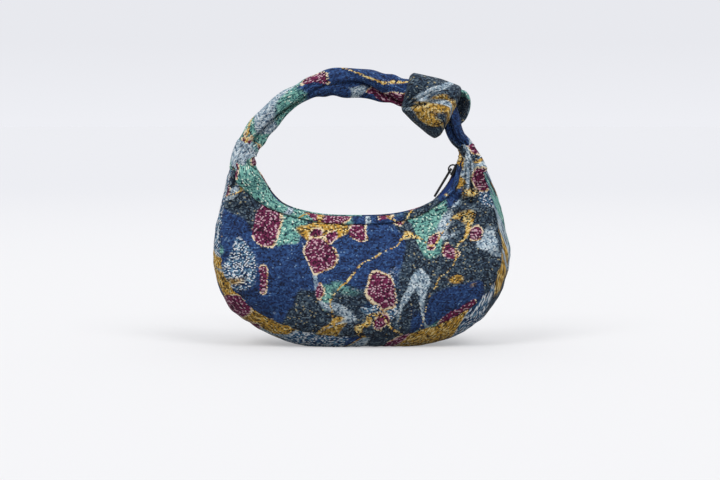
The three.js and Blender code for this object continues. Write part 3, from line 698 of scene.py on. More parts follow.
def wall_height(angle):
    """The distance from the seam up to the rim."""
    return seam_radius(angle) - rim_radius(angle)


def rim_dip(angle, side):
    """The rims sag towards both ends by bell curves, the front one most, where it shows the slider."""
    return sum(drop * np.exp(-(((angle - place) / spread) ** 2)) for place, spread, drop in RIM_DIPS[side])


def band_low(angle, side):
    """How far below the rim the band is sewn down: by smooth steps it widens into a leaf on the left, and
    narrows on the right."""
    leaf = LEAF_WIDTH * smoothstep(-angle, *LEAF_WIDENS) - LEAF_TIP * smoothstep(-angle, *LEAF_NARROWS)
    return BAND_WIDTH + leaf - BAND_NARROW * smoothstep(angle, *BAND_NARROWS) + rim_dip(angle, side)


def wall_grid(columns, rows, inward, side, top, end_angle=END_ANGLE):
    """A wall's face at a distance inside its outer one, from the seam up to a distance below the rim."""
    angle = np.linspace(-end_angle, end_angle, columns)[:, None]
    low = SEAM_GAP / wall_height(angle)
    high = 1 - top / wall_height(angle)
    v = mix(low, high, np.linspace(0, 1, rows)[None, :])
    return angle, v, wall_point(angle, v, inward, side)


def fold_lift(x, z, folds):
    """Ridges and hollows: each lifts the cloth by a bell curve of the distance to its line."""
    lift = np.zeros(np.shape(x))
    for x0, z0, x1, z1, height, width in folds:
        length = math.hypot(x1 - x0, z1 - z0)
        share = np.clip(((x - x0) * (x1 - x0) + (z - z0) * (z1 - z0)) / length ** 2, 0, 1)
        away = np.hypot(x - x0 - share * (x1 - x0), z - z0 - share * (z1 - z0))
        lift = lift + height * np.exp(-((away / width) ** 2))
    return lift


def neck_pleats(angle, v, side):
    """Gathers that run out of the two necks along the rim: a sine without its sign, so that round ridges
    stand between sharp hollows. They grow towards the necks."""
    sway = PLEAT_SWAY * np.sin(angle / PLEAT_SWAY_LENGTH)
    shift = PLEAT_SIDE_SHIFT * side
    right_ridges = np.abs(np.sin(math.pi * (RIGHT_PLEATS * v + sway + shift))) ** PLEAT_ROUNDING
    left_place = LEFT_PLEATS * v - sway + LEFT_PLEAT_SHIFT + shift
    left_ridges = np.abs(np.sin(math.pi * left_place)) ** PLEAT_ROUNDING
    right = RIGHT_PLEAT_HEIGHT * smoothstep(angle, *RIGHT_PLEATS_GROW) * (right_ridges - RIGHT_PLEAT_SINK)
    left = LEFT_PLEAT_HEIGHT * smoothstep(-angle, *LEFT_PLEATS_GROW) * (left_ridges - LEFT_PLEAT_SINK)
    return right * smoothstep(v, *RIGHT_PLEATS_RISE) + left


def cubic(before, start, end, after, t):
    """A point between start and end on a curve whose slopes follow the neighbours on both sides."""
    return 0.5 * (2 * start + (end - before) * t + (2 * before - 5 * start + 4 * end - after) * t ** 2
                  + (3 * start - before - 3 * end + after) * t ** 3)


def open_curve(points, count):
    """A smooth line through rows of numbers, from the first to the last."""
    ends = np.concatenate([[2 * points[0] - points[1]], points, [2 * points[-1] - points[-2]]])
    place = np.linspace(0, len(points) - 1, count)
    k = np.minimum(place.astype(int), len(points) - 2)
    return cubic(*(ends[k + d] for d in range(4)), (place - k)[:, None])


def settle(points, side):
    """Blender's cloth on a coarse grid of a wall. Its four edges are held, it is a little too large for
    them, a slight pressure keeps it full, and it buckles. Gives each point's move outwards along y, evened
    out with its neighbours' and capped."""
    columns, rows = points.shape[:2]
    mesh = bpy.data.meshes.new("settling")
    mesh.from_pydata(points.reshape(-1, 3).tolist(), [], grid_faces(columns, rows).tolist())
    piece = bpy.data.objects.new("settling", mesh)
    scene = bpy.context.scene
    scene.collection.objects.link(piece)
    edges = np.ones((columns, rows), bool)
    edges[1:-1, 1:-1] = False
    piece.vertex_groups.new(name="held").add(np.flatnonzero(edges).tolist(), 1.0, "REPLACE")
    cloth = piece.modifiers.new("cloth", "CLOTH")
    settings = cloth.settings
    settings.vertex_group_mass = "held"
    settings.quality = SETTLE_QUALITY
    settings.mass = SETTLE_MASS
    settings.bending_stiffness = SETTLE_BENDING
    settings.air_damping = SETTLE_DAMPING
    settings.shrink_min = -SETTLE_GROWTH
    settings.effector_weights.gravity = 0
    settings.use_pressure = True
    settings.uniform_pressure_force = SETTLE_PRESSURE
    cloth.point_cache.frame_end = SETTLE_FRAMES
    for step in range(1, SETTLE_FRAMES + 1):
        scene.frame_set(step)
    settled = piece.evaluated_get(bpy.context.evaluated_depsgraph_get()).to_mesh()
    places = np.empty(3 * len(settled.vertices), np.float32)
    settled.vertices.foreach_get("co", places)
    bpy.data.objects.remove(piece)
    scene.frame_set(1)
    moves = side * (places.reshape(points.shape) - points)[..., 1]
    for _ in range(SETTLE_EVENED):
        moves[1:-1] = (moves[:-2] + 2 * moves[1:-1] + moves[2:]) / 4
        moves[:, 1:-1] = (moves[:, :-2] + 2 * moves[:, 1:-1] + moves[:, 2:]) / 4
    return np.clip(moves, -SETTLE_CAP, SETTLE_CAP)


def wall_cloth(name, side, seed):
    """The outer face moves along y: folds, pleats and puckers, what the cloth settles into, and grooves."""
    top = band_low(np.linspace(-END_ANGLE, END_ANGLE, WALL_COLUMNS)[:, None], side) - BAND_TUCK
    angle, v, inner = wall_grid(WALL_COLUMNS, WALL_ROWS, CLOTH, side, top)
    outer = wall_grid(WALL_COLUMNS, WALL_ROWS, 0.0, side, top)[2]
    x, z = outer[..., 0], outer[..., 2]
    along = run_length(outer)
    from_seam = v * wall_height(angle)
    from_band = (1 - v) * wall_height(angle) - top - BAND_TUCK
    lift = fold_lift(x, z, WALL_FOLDS[side])
    lift = lift + puckers(from_seam, along + seed, *WALL_PUCKERS)
    lift = lift + puckers(np.abs(from_band), along + 2 * seed, *BAND_PUCKERS)
    lift = lift * smoothstep(from_band, *BAND_CLEAR) + neck_pleats(angle, v, side)
    formed = outer + np.stack([0 * lift, side * lift, 0 * lift], -1)
    moves = settle(formed[::SETTLE_STEP, ::SETTLE_STEP], side)
    lift = lift + open_curve(open_curve(moves, WALL_COLUMNS).T, WALL_ROWS).T
    lift = lift - SEAM_GROOVE * np.exp(-((from_seam / WALL_GROOVE_WIDTH) ** 2))
    lift = lift - BAND_STEP * (1 - smoothstep(from_band, 0.0, BAND_STEP_REACH))
    outer[..., 1] += side * np.maximum(lift, -DEEPEST_HOLLOW)
    cloth_map = np.stack([x + seed, z], -1)
    return thick_sheet(name, outer, inner, cloth_map)


WALLS = (("front", FRONT, 0.0), ("back", BACK, 0.7))
WALL_WEAVE = tapestry("wall_weave", 7.8, coal=0.53, plum=0.3, gold=0.6, hatch=0.61, mint=0.62)
for label, side, seed in WALLS:
    wall = wall_cloth(f"{label}_wall_cloth", side, seed)
    finish_piece(wall, WALL_WEAVE, "tapestry", f"{label}_panel")
    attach(wall, "bag")

# Fleece and lining: behind each piece of the outer cloth lies soft white fleece, and inside it a plain navy
# twill that is all that shows in the open bag. They are cut a little short of the necks.
INTERLINING = 0.002
LINING = 0.0006
LAYER_GAP = 0.0003
LAYER_TOP = 0.0084
LAYER_STEPS = 28
LAYER_END = END_ANGLE * (LAYER_STEPS - 2) / LAYER_STEPS
LAYER_COLUMNS = 121
LAYER_ROWS = 33
FLEECE_FROM = CLOTH + LAYER_GAP
LINING_FROM = FLEECE_FROM + INTERLINING + LAYER_GAP
FLEECE_WHITE = linear((228, 226, 218))
FLEECE_SHADE = linear((196, 193, 184))
FLEECE_ROUGHNESS = 0.95
FLEECE_TUFTS = 900
FLEECE_CLOUDS = 60
FLEECE_RELIEF = 0.0006
TWILL_DARK = linear((24, 32, 62))
TWILL_LIGHT = linear((44, 58, 98))
TWILL_STEP = 0.0007
TWILL_ROUGHNESS = 0.75
TWILL_UNEVEN = 420
TWILL_RELIEF = 0.0002


def fleece():
    """Matted white fibres: two scales of noise for the shade, the finer one for the height."""
    material, shader, uv = cloth_material("fleece")
    tufts = uv.noise(FLEECE_TUFTS, 4)
    clouds = uv.noise(FLEECE_CLOUDS, 2)
    (tufts * 0.6 + clouds * 0.4).mix(FLEECE_SHADE, FLEECE_WHITE).feed(shader, "Base Color")
    bump = uv.node("ShaderNodeBump", {}, {"Strength": 0.7, "Distance": FLEECE_RELIEF, "Height": tufts})
    bump.feed(shader, "Normal")
    shader.inputs["Roughness"].default_value = FLEECE_ROUGHNESS
    return material


def twill(name, dark, light, step):
    """Fine diagonal ribs, a sawtooth of the two map directions added together, with uneven yarn."""
    material, shader, uv = cloth_material(name)
    rib = ((uv.part(0) + uv.part(1)) / step).math("FRACT")
    crown = 1 - (rib * 2 - 1) * (rib * 2 - 1)
    uneven = uv.noise(TWILL_UNEVEN, 3)
    (crown * 0.6 + uneven * 0.4).mix(dark, light).feed(shader, "Base Color")
    bump = uv.node("ShaderNodeBump", {}, {"Strength": 0.5, "Distance": TWILL_RELIEF, "Height": crown})
    bump.feed(shader, "Normal")
    shader.inputs["Roughness"].default_value = TWILL_ROUGHNESS
    return material


FLEECE = fleece()
TWILL = twill("lining_twill", TWILL_DARK, TWILL_LIGHT, TWILL_STEP)
LAYERS = (
    ("fleece", "interlining", FLEECE_FROM, INTERLINING, FLEECE, "fleece"),
    ("lining_cloth", "lining", LINING_FROM, LINING, TWILL, "lining"),
)
for suffix, node, start, thickness, material, slot in LAYERS:
    faces = (start, start + thickness)
    grids = [gusset_grid(LAYER_COLUMNS, LAYER_ROWS, inward, LAYER_END)[2] for inward in faces]
    cloth_map = np.stack([run_length(grids[0]), grids[0][..., 1]], -1)
    layer = thick_sheet(f"gusset_{suffix}", *grids, cloth_map)
    finish_piece(layer, material, slot, f"gusset_{node}")
    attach(layer, "bag")
    for label, side, _ in WALLS:
        grids = [wall_grid(LAYER_COLUMNS, LAYER_ROWS, inward, side, LAYER_TOP, LAYER_END)[2]
                 for inward in faces]
        layer = thick_sheet(f"{label}_{suffix}", *grids, grids[0][..., [0, 2]])
        finish_piece(layer, material, slot, f"{label}_{node}")
        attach(layer, "bag")

# Slip pocket: a flat patch of the lining twill on the back wall, hemmed along its open top edge
# and sewn down round the other three sides.
POCKET_ANGLE = 17
POCKET_LOW = 0.023
POCKET_HIGH = 0.063
POCKET_GAP = 0.0007
POCKET_FROM = LINING_FROM + LINING + POCKET_GAP
POCKET_CLOTH = 0.0006
POCKET_HEM = 0.009
HEM_CLOTH = 0.0005
HEM_EDGE = 0.001
POCKET_COLUMNS = 61
POCKET_ROWS = 41
POCKET_MAP_SHIFT = 0.4


def pocket_cloth():
    """The patch follows the wall inside the lining; its hem is doubled, so it is thicker there."""
    angle = np.linspace(-POCKET_ANGLE, POCKET_ANGLE, POCKET_COLUMNS)[:, None]
    height = np.linspace(POCKET_LOW, POCKET_HIGH, POCKET_ROWS)[None, :]
    v = height / wall_height(angle)
    hem_low = POCKET_HIGH - POCKET_HEM
    hem = HEM_CLOTH * smoothstep(height, hem_low, hem_low + HEM_EDGE)
    outer = wall_point(angle, v, POCKET_FROM, BACK)
    inner = wall_point(angle, v, POCKET_FROM + POCKET_CLOTH + hem, BACK)
    return thick_sheet("slip_pocket_cloth", outer, inner, outer[..., [0, 2]] + POCKET_MAP_SHIFT)


pocket = pocket_cloth()
finish_piece(pocket, TWILL, "lining", "slip_pocket")
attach(pocket, "bag")

# Rim bands: a strip of the figured cloth, folded over the edge of each wall and stitched down under the
# fold. Towards the left neck it widens into a leaf that lies over the gathers.
BAND_LEFT = -70.9
BAND_RIGHT = 69.5
BAND_LAYER = 0.0009
BAND_PROUD = 0.0007
BAND_INNER = 0.002
LEAF_PROUD = 0.0046
LEAF_INNER = -0.0004
LEAF_SINK = 0.0048
LEAF_TURN = 57
LEAF_REACH = 14.2
LEAF_DROP = 0.014
LEAF_LIFTS = (53, 62)
LEAF_SINKS = (64, 71)
LEAF_PLUMP = 0.0018
BAND_PLUMP = 0.0008
BAND_STITCH = 0.0007
BAND_STITCH_FROM = 0.85
BAND_RIPPLE = 0.0005
BAND_RIPPLE_LENGTH = 0.013
BAND_TURN_DOWN = 0.0055
BAND_COLUMNS = 281
BAND_FACE_ROWS = 19
BAND_FOLD_ROWS = 11
BAND_INNER_ROWS = 6
BAND_MAP_START = 0.02


def band_top(angle, side):
    """How far below the rim the band's fold lies: near the left neck it turns away as a cubic."""
    leaf = np.clip((-angle - LEAF_TURN) / LEAF_REACH, 0, None) ** 3
    return LEAF_DROP * leaf + rim_dip(angle, side)


def band_cloth(label, side, seed):
    """The strip's section runs from its sewn lower edge up the outside, round the fold and down inside.
    The second grid is the same section one layer deeper. The leaf lies outside the wall, and its
    tip sinks into the neck."""
    angle = np.linspace(BAND_LEFT, BAND_RIGHT, BAND_COLUMNS)[:, None]
    leaf = smoothstep(-angle, *LEAF_LIFTS)
    proud, inner = mix(BAND_PROUD, LEAF_PROUD, leaf), mix(BAND_INNER, LEAF_INNER, leaf)
    half, centre = (inner + proud) / 2, (inner - proud) / 2
    top, low = band_top(angle, side), band_low(angle, side)
    along = run_length(wall_point(angle, 1.0, 0.0, side))
    up = np.linspace(1, 0, BAND_FACE_ROWS)[None, :]
    turn = np.linspace(0, math.pi, BAND_FOLD_ROWS)[None, 1:-1]
    down = np.linspace(0, 1, BAND_INNER_ROWS)[None, :]
    plump = mix(BAND_PLUMP, LEAF_PLUMP, leaf) * np.sin(math.pi * up ** 0.8)
    plump = plump - BAND_STITCH * (1 - leaf) * smoothstep(up, BAND_STITCH_FROM, 1)
    plump = plump + BAND_RIPPLE * ripple(along + seed, BAND_RIPPLE_LENGTH) * up
    sunk = LEAF_SINK * smoothstep(-angle, *LEAF_SINKS)
    grids = []
    for layer in (0.0, BAND_LAYER):
        bend = half - layer
        below = np.concatenate([mix(top + half, low, up), top + half - bend * np.sin(turn),
                                mix(top + half, top + BAND_TURN_DOWN, down)], 1)
        inward = np.concatenate([layer - proud - plump, centre - bend * np.cos(turn),
                                 np.broadcast_to(inner - layer, (BAND_COLUMNS, down.shape[1]))], 1) + sunk
        grids.append(wall_point(angle, 1 - below / wall_height(angle), inward, side))
    over = run_length(np.swapaxes(grids[0], 0, 1)).T
    cloth_map = np.stack(np.broadcast_arrays(along + seed, low + BAND_MAP_START - over), -1)
    return thick_sheet(f"{label}_rim_cloth", *grids, cloth_map)


RIM_SEED = 53.6
RIM_LOOK = {"coal": 0.54, "mint": 0.54, "plum": 0.3, "gold": 0.6, "hatch": 0.66}
for label, side, seed in WALLS:
    band = band_cloth(label, side, seed)
    weave = tapestry(f"{label}_rim_weave", RIM_SEED + seed, **RIM_LOOK)
    finish_piece(band, weave, "rim_cloth", f"{label}_rim_band")
    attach(band, "bag")

# Zip: two woven tapes sewn under the rim bands, each with its row of metal teeth that mesh in the middle.
# Stops close the ends of the chain, and the slider hangs a flat pull on its crown.
CHAIN_CLOSED = 67.3
CHAIN_OPEN = -51.3
TAPE_OVERHANG = 1.9
TAPE_SEAT = 0.0025
TAPE_THICKNESS = 0.0007
TAPE_EDGE = 0.0019
TAPE_BEND_END = 1.5 * TAPE_EDGE
TAPE_WIDTH = 0.013
TAPE_HANG = 0.0005
TAPE_RIB = 0.0009
TAPE_COLUMNS = 161
TAPE_ROWS = 13
TEETH_OUTER = 0.0017
TOOTH_STEP = 1.17
TOOTH_FIRST = 0.4
TOOTH_END_GAP = 0.3
TOOTH_NECK = 0.0004
TOOTH_NOSE = -0.0004
NOSE_HEIGHT_SHARE = 0.6
NOSE_LENGTH_SHARE = 0.7
TOOTH_HALF_HEIGHT = 0.0011
TOOTH_HALF_LENGTH = 0.00042
TAPE_DARK = linear((18, 36, 92))
TAPE_LIGHT = linear((40, 66, 130))
METAL_BLACK = linear((16, 16, 18))
METAL_WORN = linear((52, 51, 50))
METAL_SPOTS = 900
METAL_WORN_FROM = 0.69
METAL_WORN_EDGE = 0.04
METAL_SMEARS = 160
METAL_GLOSS = 0.3
METAL_WELD = 0.00001
METAL_BEVEL = 0.0002
METAL_SHARP = math.radians(40)


def clear_half_width(angle, below):
    """Half the clear width between the two bands, at a distance below the rim."""
    v = 1 - below / wall_height(angle)
    return wall_point(angle, v, BAND_INNER, BACK)[..., 1] - LAYER_GAP


def tape_cloth(label, side):
    """A strip from its seat under the band to the outer edge of the teeth, hanging in a shallow curve."""
    angle = np.linspace(CHAIN_OPEN - TAPE_OVERHANG, CHAIN_CLOSED + TAPE_OVERHANG, TAPE_COLUMNS)[:, None]
    share = np.linspace(0, 1, TAPE_ROWS)[None, :]
    below = TAPE_SEAT + rim_dip(angle, side)
    seat_depth = clear_half_width(angle, below) - TAPE_THICKNESS / 2
    seat = np.stack(np.broadcast_arrays(rim_radius(angle) + below, seat_depth), -1)
    edge = np.array([ZIP_RADIUS, TAPE_EDGE])
    line = seat + (edge - seat) * share[..., None]
    slope = (edge - seat) / np.linalg.norm(edge - seat, axis=-1, keepdims=True)
    across = np.stack([-slope[..., 1], slope[..., 0]], -1)
    hang = TAPE_HANG * np.sin(math.pi * share)[..., None]
    faces = [line + across * (d + hang) for d in (TAPE_THICKNESS / 2, -TAPE_THICKNESS / 2)]
    grids = [polar(f[..., 0], angle, side * f[..., 1]) for f in faces]
    cloth_map = np.stack(np.broadcast_arrays(run_length(grids[0]), TAPE_WIDTH * share), -1)
    return thick_sheet(f"zip_tape_{label}_cloth", *grids, cloth_map)


def teeth(label, side, phase):
    """Teeth along the arc, all made at once: three square rings from the tape's edge to a narrow nose."""
    first = CHAIN_OPEN + (TOOTH_FIRST + phase) * TOOTH_STEP
    angle = np.arange(first, CHAIN_CLOSED - TOOTH_END_GAP, TOOTH_STEP)
    depth = np.array([TEETH_OUTER, TOOTH_NECK, TOOTH_NOSE])
    height = TOOTH_HALF_HEIGHT * np.array([1, 1, NOSE_HEIGHT_SHARE])
    length = np.degrees(TOOTH_HALF_LENGTH / ZIP_RADIUS) * np.array([1, 1, NOSE_LENGTH_SHARE])
    corner = np.array([[-1, -1], [1, -1], [1, 1], [-1, 1]])
    turn = angle[:, None, None] + corner[None, None, :, 0] * length[None, :, None]
    radius = ZIP_RADIUS + corner[None, None, :, 1] * height[None, :, None]
    points = polar(radius, turn, side * depth[None, :, None]).reshape(-1, 3)
    sides = len(corner)
    tooth = np.array([[k + i, k + (i + 1) % sides, k + sides + (i + 1) % sides, k + sides + i]
                      for k in (0, sides) for i in range(sides)] + [[3, 2, 1, 0], [8, 9, 10, 11]])
    start = sides * len(depth) * np.arange(len(angle))
    faces = (tooth[None] + start[:, None, None]).reshape(-1, 4)
    row = piece_of(f"zip_teeth_{label}_row", points, faces, points[:, [0, 2]])
    row.data.polygons.foreach_set("use_smooth", np.zeros(len(faces), bool))
    return row


def black_metal():
    """Black lacquer over metal: half gloss, a little uneven, and worn grey in small spots."""
    material = bpy.data.materials.new("black_lacquer")
    material.use_nodes = True
    tree = material.node_tree
    shader = tree.nodes["Principled BSDF"]
    place = Socket(tree, tree.nodes.new("ShaderNodeTexCoord").outputs["Object"])
    worn = place.noise(METAL_SPOTS, 3).above(METAL_WORN_FROM, METAL_WORN_EDGE)
    worn.mix(METAL_BLACK, METAL_WORN).feed(shader, "Base Color")
    (place.noise(METAL_SMEARS, 2) * 0.2 + 0.4).feed(shader, "Roughness")
    shader.inputs["Specular IOR Level"].default_value = METAL_GLOSS
    return material


TAPE_WEAVE = twill("zip_tape_weave", TAPE_DARK, TAPE_LIGHT, TAPE_RIB)
LACQUER = black_metal()
for label, side, phase in (("front", FRONT, 0.0), ("back", BACK, 0.5)):
    half = f"zip_{label}_half"
    tape = tape_cloth(label, side)
    finish_piece(tape, TAPE_WEAVE, "zip_tape", f"zip_tape_{label}")
    sewn = clear_half_width(np.array([0.0]), TAPE_SEAT)[0]
    side * sewn
    side * TAPE_BEND_END
    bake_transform(tape)
    row = teeth(label, side, phase)
    finish_piece(row, LACQUER, "black_metal", f"zip_teeth_{label}")
    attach(row, half)
for node in ("zip_top_stop_front", "zip_top_stop_back", "zip_bottom_stop", "zip_slider", "zip_pull"):
    metal = frame["nodes"][node]
    metal.data.materials.clear()
    metal.data.materials.append(LACQUER)
    weld = metal.modifiers.new("weld", "WELD")
    weld.merge_threshold = METAL_WELD
    bevel = metal.modifiers.new("rounded_edges", "BEVEL")
    bevel.width = METAL_BEVEL
    bevel.segments = 2
    bevel.limit_method = "ANGLE"
    bevel.angle_limit = METAL_SHARP

# Mouth end tab: a small flap of the strap's cloth, sewn across the mouth between the two rim bands.
# It closes the short stretch from the end of the zip to the left neck.
TAB_LEFT = -66
TAB_GAP = 0.4
TAB_RIGHT = CHAIN_OPEN - TAPE_OVERHANG - TAB_GAP
TAB_SAG = 0.0006
TAB_COLUMNS = 41
TAB_ROWS = 25


def tab_cloth():
    """A strip across the mouth that sags along its middle, as a parabola."""
    angle = np.linspace(TAB_LEFT, TAB_RIGHT, TAB_COLUMNS)[:, None]
    across = np.linspace(-1, 1, TAB_ROWS)[None, :]
    depth = across * clear_half_width(angle, ZIP_RADIUS - rim_radius(angle))
    sag = TAB_SAG * (1 - across ** 2)
    grids = [polar(ZIP_RADIUS + d + sag, angle, depth) for d in (-CLOTH / 2, CLOTH / 2)]
    cloth_map = np.stack([run_length(grids[0]), grids[0][..., 1]], -1)
    return thick_sheet("mouth_end_tab_cloth", *grids, cloth_map)


STRAP_LOOK = {"coal": 0.56, "mint": 0.57, "plum": 0.22, "gold": 0.66, "hatch": 0.66, "stretch": 1.8}
tab = tab_cloth()
finish_piece(tab, tapestry("mouth_end_tab_weave", 9.0, **STRAP_LOOK), "strap_cloth", "mouth_end_tab")
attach(tab, "bag")

# Strap: one soft flat tube of the figured cloth, sewn into the left neck and led over to the knot.
# It isn't stuffed, so it folds along its length: its outer edge laps over its inner one near both ends.
STRAP_COLUMNS = 181
STRAP_FIRST = 6
STRAP_RUMPLE = 0.05
STRAP_RUMPLE_LENGTH = 0.024
STRAP_RUMPLE_LEAN = 0.006
BROAD_CREASE = 0.06
BROAD_CREASE_LENGTH = 0.012
BROAD_CREASE_DRIFT = 0.02
FINE_CREASE = 0.04
FINE_CREASE_LENGTH = 0.008
RING_STEPS = 4
# Each station: x, height, width, depth, how far it is lapped, and where across it the crease lies.
STRAP_STATIONS = np.array([
    (-0.1000, 0.1725, 0.0200, 0.0085, 0.8, 0.00),
    (-0.0934, 0.1833, 0.0216, 0.0110, 1.0, 0.00),
    (-0.0827, 0.1969, 0.0212, 0.0130, 1.0, -0.18),
    (-0.0694, 0.2102, 0.0196, 0.0130, 1.0, -0.38),
    (-0.0530, 0.2213, 0.0166, 0.0130, 0.7, -0.70),
    (-0.0322, 0.2290, 0.0222, 0.0135, 0.0, -0.60),
    (-0.0120, 0.2302, 0.0262, 0.0145, 0.3, 0.50),
    (0.0100, 0.2276, 0.0254, 0.0155, 1.0, 0.00),
    (0.0250, 0.2246, 0.0248, 0.0155, 1.0, -0.40),
    (0.0450, 0.2195, 0.0235, 0.0150, 1.0, -0.65),
])
# A lapped section and an oval one, by points that answer each other: reach outwards, and to the front.
LAP_SECTION = np.array([
    (1.0, 0.0), (0.9, 0.5), (0.62, 0.9), (0.3, 1.0), (0.05, 0.9), (-0.1, 0.62), (-0.03, 0.34), (0.12, 0.1),
    (-0.06, -0.14), (-0.3, 0.1), (-0.6, 0.32), (-0.9, 0.12), (-1.0, -0.12), (-0.86, -0.55), (-0.5, -0.85),
    (0.0, -0.95), (0.5, -0.85), (0.88, -0.5)])
OVAL_TURNS = np.radians([0, 28, 52, 72, 86, 94, 98, 101, 105, 116, 136, 160, 183, 215, 240, 270, 300, 332])


def closed_curve(points, steps):
    """A smooth closed line through points, with that many steps from each to the next."""
    place = np.arange(len(points) * steps) / steps
    k = place.astype(int)
    return cubic(*(points[(k + d) % len(points)] for d in (-1, 0, 1, 2)), (place - k)[:, None])


OVAL_RING = closed_curve(np.stack([np.cos(OVAL_TURNS), np.sin(OVAL_TURNS)], -1), RING_STEPS)
LAP_RING = closed_curve(LAP_SECTION, RING_STEPS)


def lapped_rings(fold, place):
    """Sections of a flat tube, as reach outwards and reach to the front: an oval where fold is 0, and where
    it is 1 an outer lobe that laps over an inner one, with the crease at that place across the width."""
    flat = mix(OVAL_RING[None], LAP_RING[None], fold[:, None, None])
    reach = flat[..., 0] + (fold * place)[:, None] * (1 - flat[..., 0] ** 2)
    return reach, flat[..., 1]


def outward_of(line):
    """The direction across a path in the XZ plane, to the left of its run."""
    along = np.gradient(line, axis=0)
    along /= np.linalg.norm(along, axis=-1, keepdims=True)
    across = np.stack([-along[:, 2], np.zeros(len(line)), along[:, 0]], -1)
    return across / np.linalg.norm(across, axis=-1, keepdims=True)


def tube_faces(columns, ring, stride):
    """Corner numbers of the faces of a tube whose rings are stored stride apart. The step after a ring's
    last is its first again, unless the stride has room for one more. Two middle points come after all
    rings, and the faces of both ends meet in them."""
    column = stride * np.arange(columns - 1)[:, None]
    step = np.arange(ring)[None, :]
    after = (step + 1) % stride
    corners = (column + step, column + stride + step, column + stride + after, column + after)
    sides = np.stack(np.broadcast_arrays(*corners), -1).reshape(-1, 4)
    pair = np.arange(0, ring, 2)
    round_again = (pair + 2) % stride
    end = stride * (columns - 1)
    first, last = (np.full(len(pair), stride * columns + k) for k in (0, 1))
    near = np.stack([first, pair, pair + 1, round_again], -1)
    far = np.stack([last, end + round_again, end + pair + 1, end + pair], -1)
    return np.concatenate([sides, near, far])


def tube(name, line, outward, half_width, half_depth):
    """A closed soft tube: at each point of a line lies a ring, given as its reach outwards and its reach
    along y for every step round it. The cloth's map is the length along the line and the way round."""
    columns, ring = half_width.shape
    points = line[:, None] + outward[:, None] * half_width[..., None]
    points[..., 1] += half_depth
    closed = np.concatenate([points, points[:, :1]], 1)
    around = run_length(np.swapaxes(closed, 0, 1)).T
    lengths = np.broadcast_to(run_length(line)[:, None], around.shape)
    cloth_map = np.stack([lengths, around], -1)
    ends = [0, -1]
    all_points = np.concatenate([points.reshape(-1, 3), points[ends].mean(1)])
    whole_map = np.concatenate([cloth_map.reshape(-1, 2), cloth_map[ends].mean(1)])
    return piece_of(name, all_points, tube_faces(columns, ring, ring),
                    whole_map, tube_faces(columns, ring, ring + 1))


def strap_arch():
    """Rings along a curve through the stations, each with its width, depth and lap; the edges rumple a
    little, and small creases run on along the faces. It starts inside the left root."""
    stations = open_curve(STRAP_STATIONS, STRAP_COLUMNS)[STRAP_FIRST:]
    line = np.stack([stations[:, 0], np.zeros(len(stations)), stations[:, 1]], -1)
    width, depth = stations[:, 2, None], stations[:, 3, None]
    reach, face = lapped_rings(np.clip(stations[:, 4], 0, 1), stations[:, 5])
    along = run_length(line)[:, None]
    rumple = ripple(along + STRAP_RUMPLE_LEAN * reach, STRAP_RUMPLE_LENGTH)
    width = width * (1 + STRAP_RUMPLE * rumple)
    drift = 2 * np.sin(along / BROAD_CREASE_DRIFT)
    crease = BROAD_CREASE * np.sin(6 * reach + along / BROAD_CREASE_LENGTH + drift)
    crease = crease + FINE_CREASE * np.sin(13 * reach - along / FINE_CREASE_LENGTH)
    return tube("strap_cloth", line, outward_of(line), width / 2 * reach, -depth / 2 * face * (1 + crease))


strap = strap_arch()
finish_piece(strap, tapestry("strap_weave", 29.9, **STRAP_LOOK), "strap_cloth", "strap_arch")
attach(strap, "strap")

# Knot: the strap's end is wound once over the strap, slantwise, and drawn tight. The wrap widens along its
# own axis, with slanting folds; a loop stands out of its end, and the tail runs down to the right neck.
KNOT_START = np.array([0.0414, 0.0, 0.2214])
KNOT_TILT = math.radians(-27)
KNOT_ALONG = np.array([math.cos(KNOT_TILT), 0.0, math.sin(KNOT_TILT)])
KNOT_ACROSS = np.array([-KNOT_ALONG[2], 0.0, KNOT_ALONG[0]])
KNOT_LENGTH = 0.042
KNOT_START_WIDTH = 0.033
KNOT_START_DEPTH = 0.025
KNOT_END_WIDTH = 0.051
KNOT_END_DEPTH = 0.041
KNOT_COLUMNS = 141
KNOT_RING = 160
KNOT_EDGE = 0.003
KNOT_END_EDGE = 0.005
KNOT_BEFORE = 0.0027
KNOT_SKEW = 0.2
KNOT_ROUNDING = 0.82
KNOT_FOLD = 0.0034
KNOT_FOLD_ROUNDING = 0.5
KNOT_FOLD_SINK = 0.75
KNOT_FOLD_ASIDE = 0.3
KNOT_WAVE = 0.0004
FAN_SPREAD = (0.003, 0.014)
FAN_FACE = (0.1, 0.6)
# Folds fan out from a point: its place along and across the knot, and the angles of the creases.
FAN_ALONG = -0.002
FAN_ACROSS = -0.0155
FAN_FRONT = (-80, -22, 36, 49, 62, 112, 170)
FAN_BACK = (-80, -10, 26, 58, 84, 120, 170)
LOOP_ALONG = 0.043
LOOP_ACROSS = 0.004
LOOP_REACH = 0.0126
LOOP_HIGH = 0.0198
LOOP_LOW = 0.0142
LOOP_HALF_DEPTH = 0.0115
LOOP_TURN = 0.62 * math.pi
LOOP_WAVE = 0.05
LOOP_COLUMNS = 73
LOOP_SECTION = np.array([
    (1.0, 0.0), (0.98, 0.5), (0.92, 0.8), (0.83, 0.72), (0.76, 0.45), (0.62, 0.2), (0.36, 0.0),
    (0.08, -0.1), (0.08, -0.7), (0.4, -0.95), (0.8, -0.85), (0.97, -0.5)])
TAIL_COLUMNS = 81
TAIL_LAP = (1, 0.7)
TAIL_CREASE = (-0.1, 0.1)
TAIL_RIDGE = 0.08
TAIL_RIDGE_LENGTH = 0.009
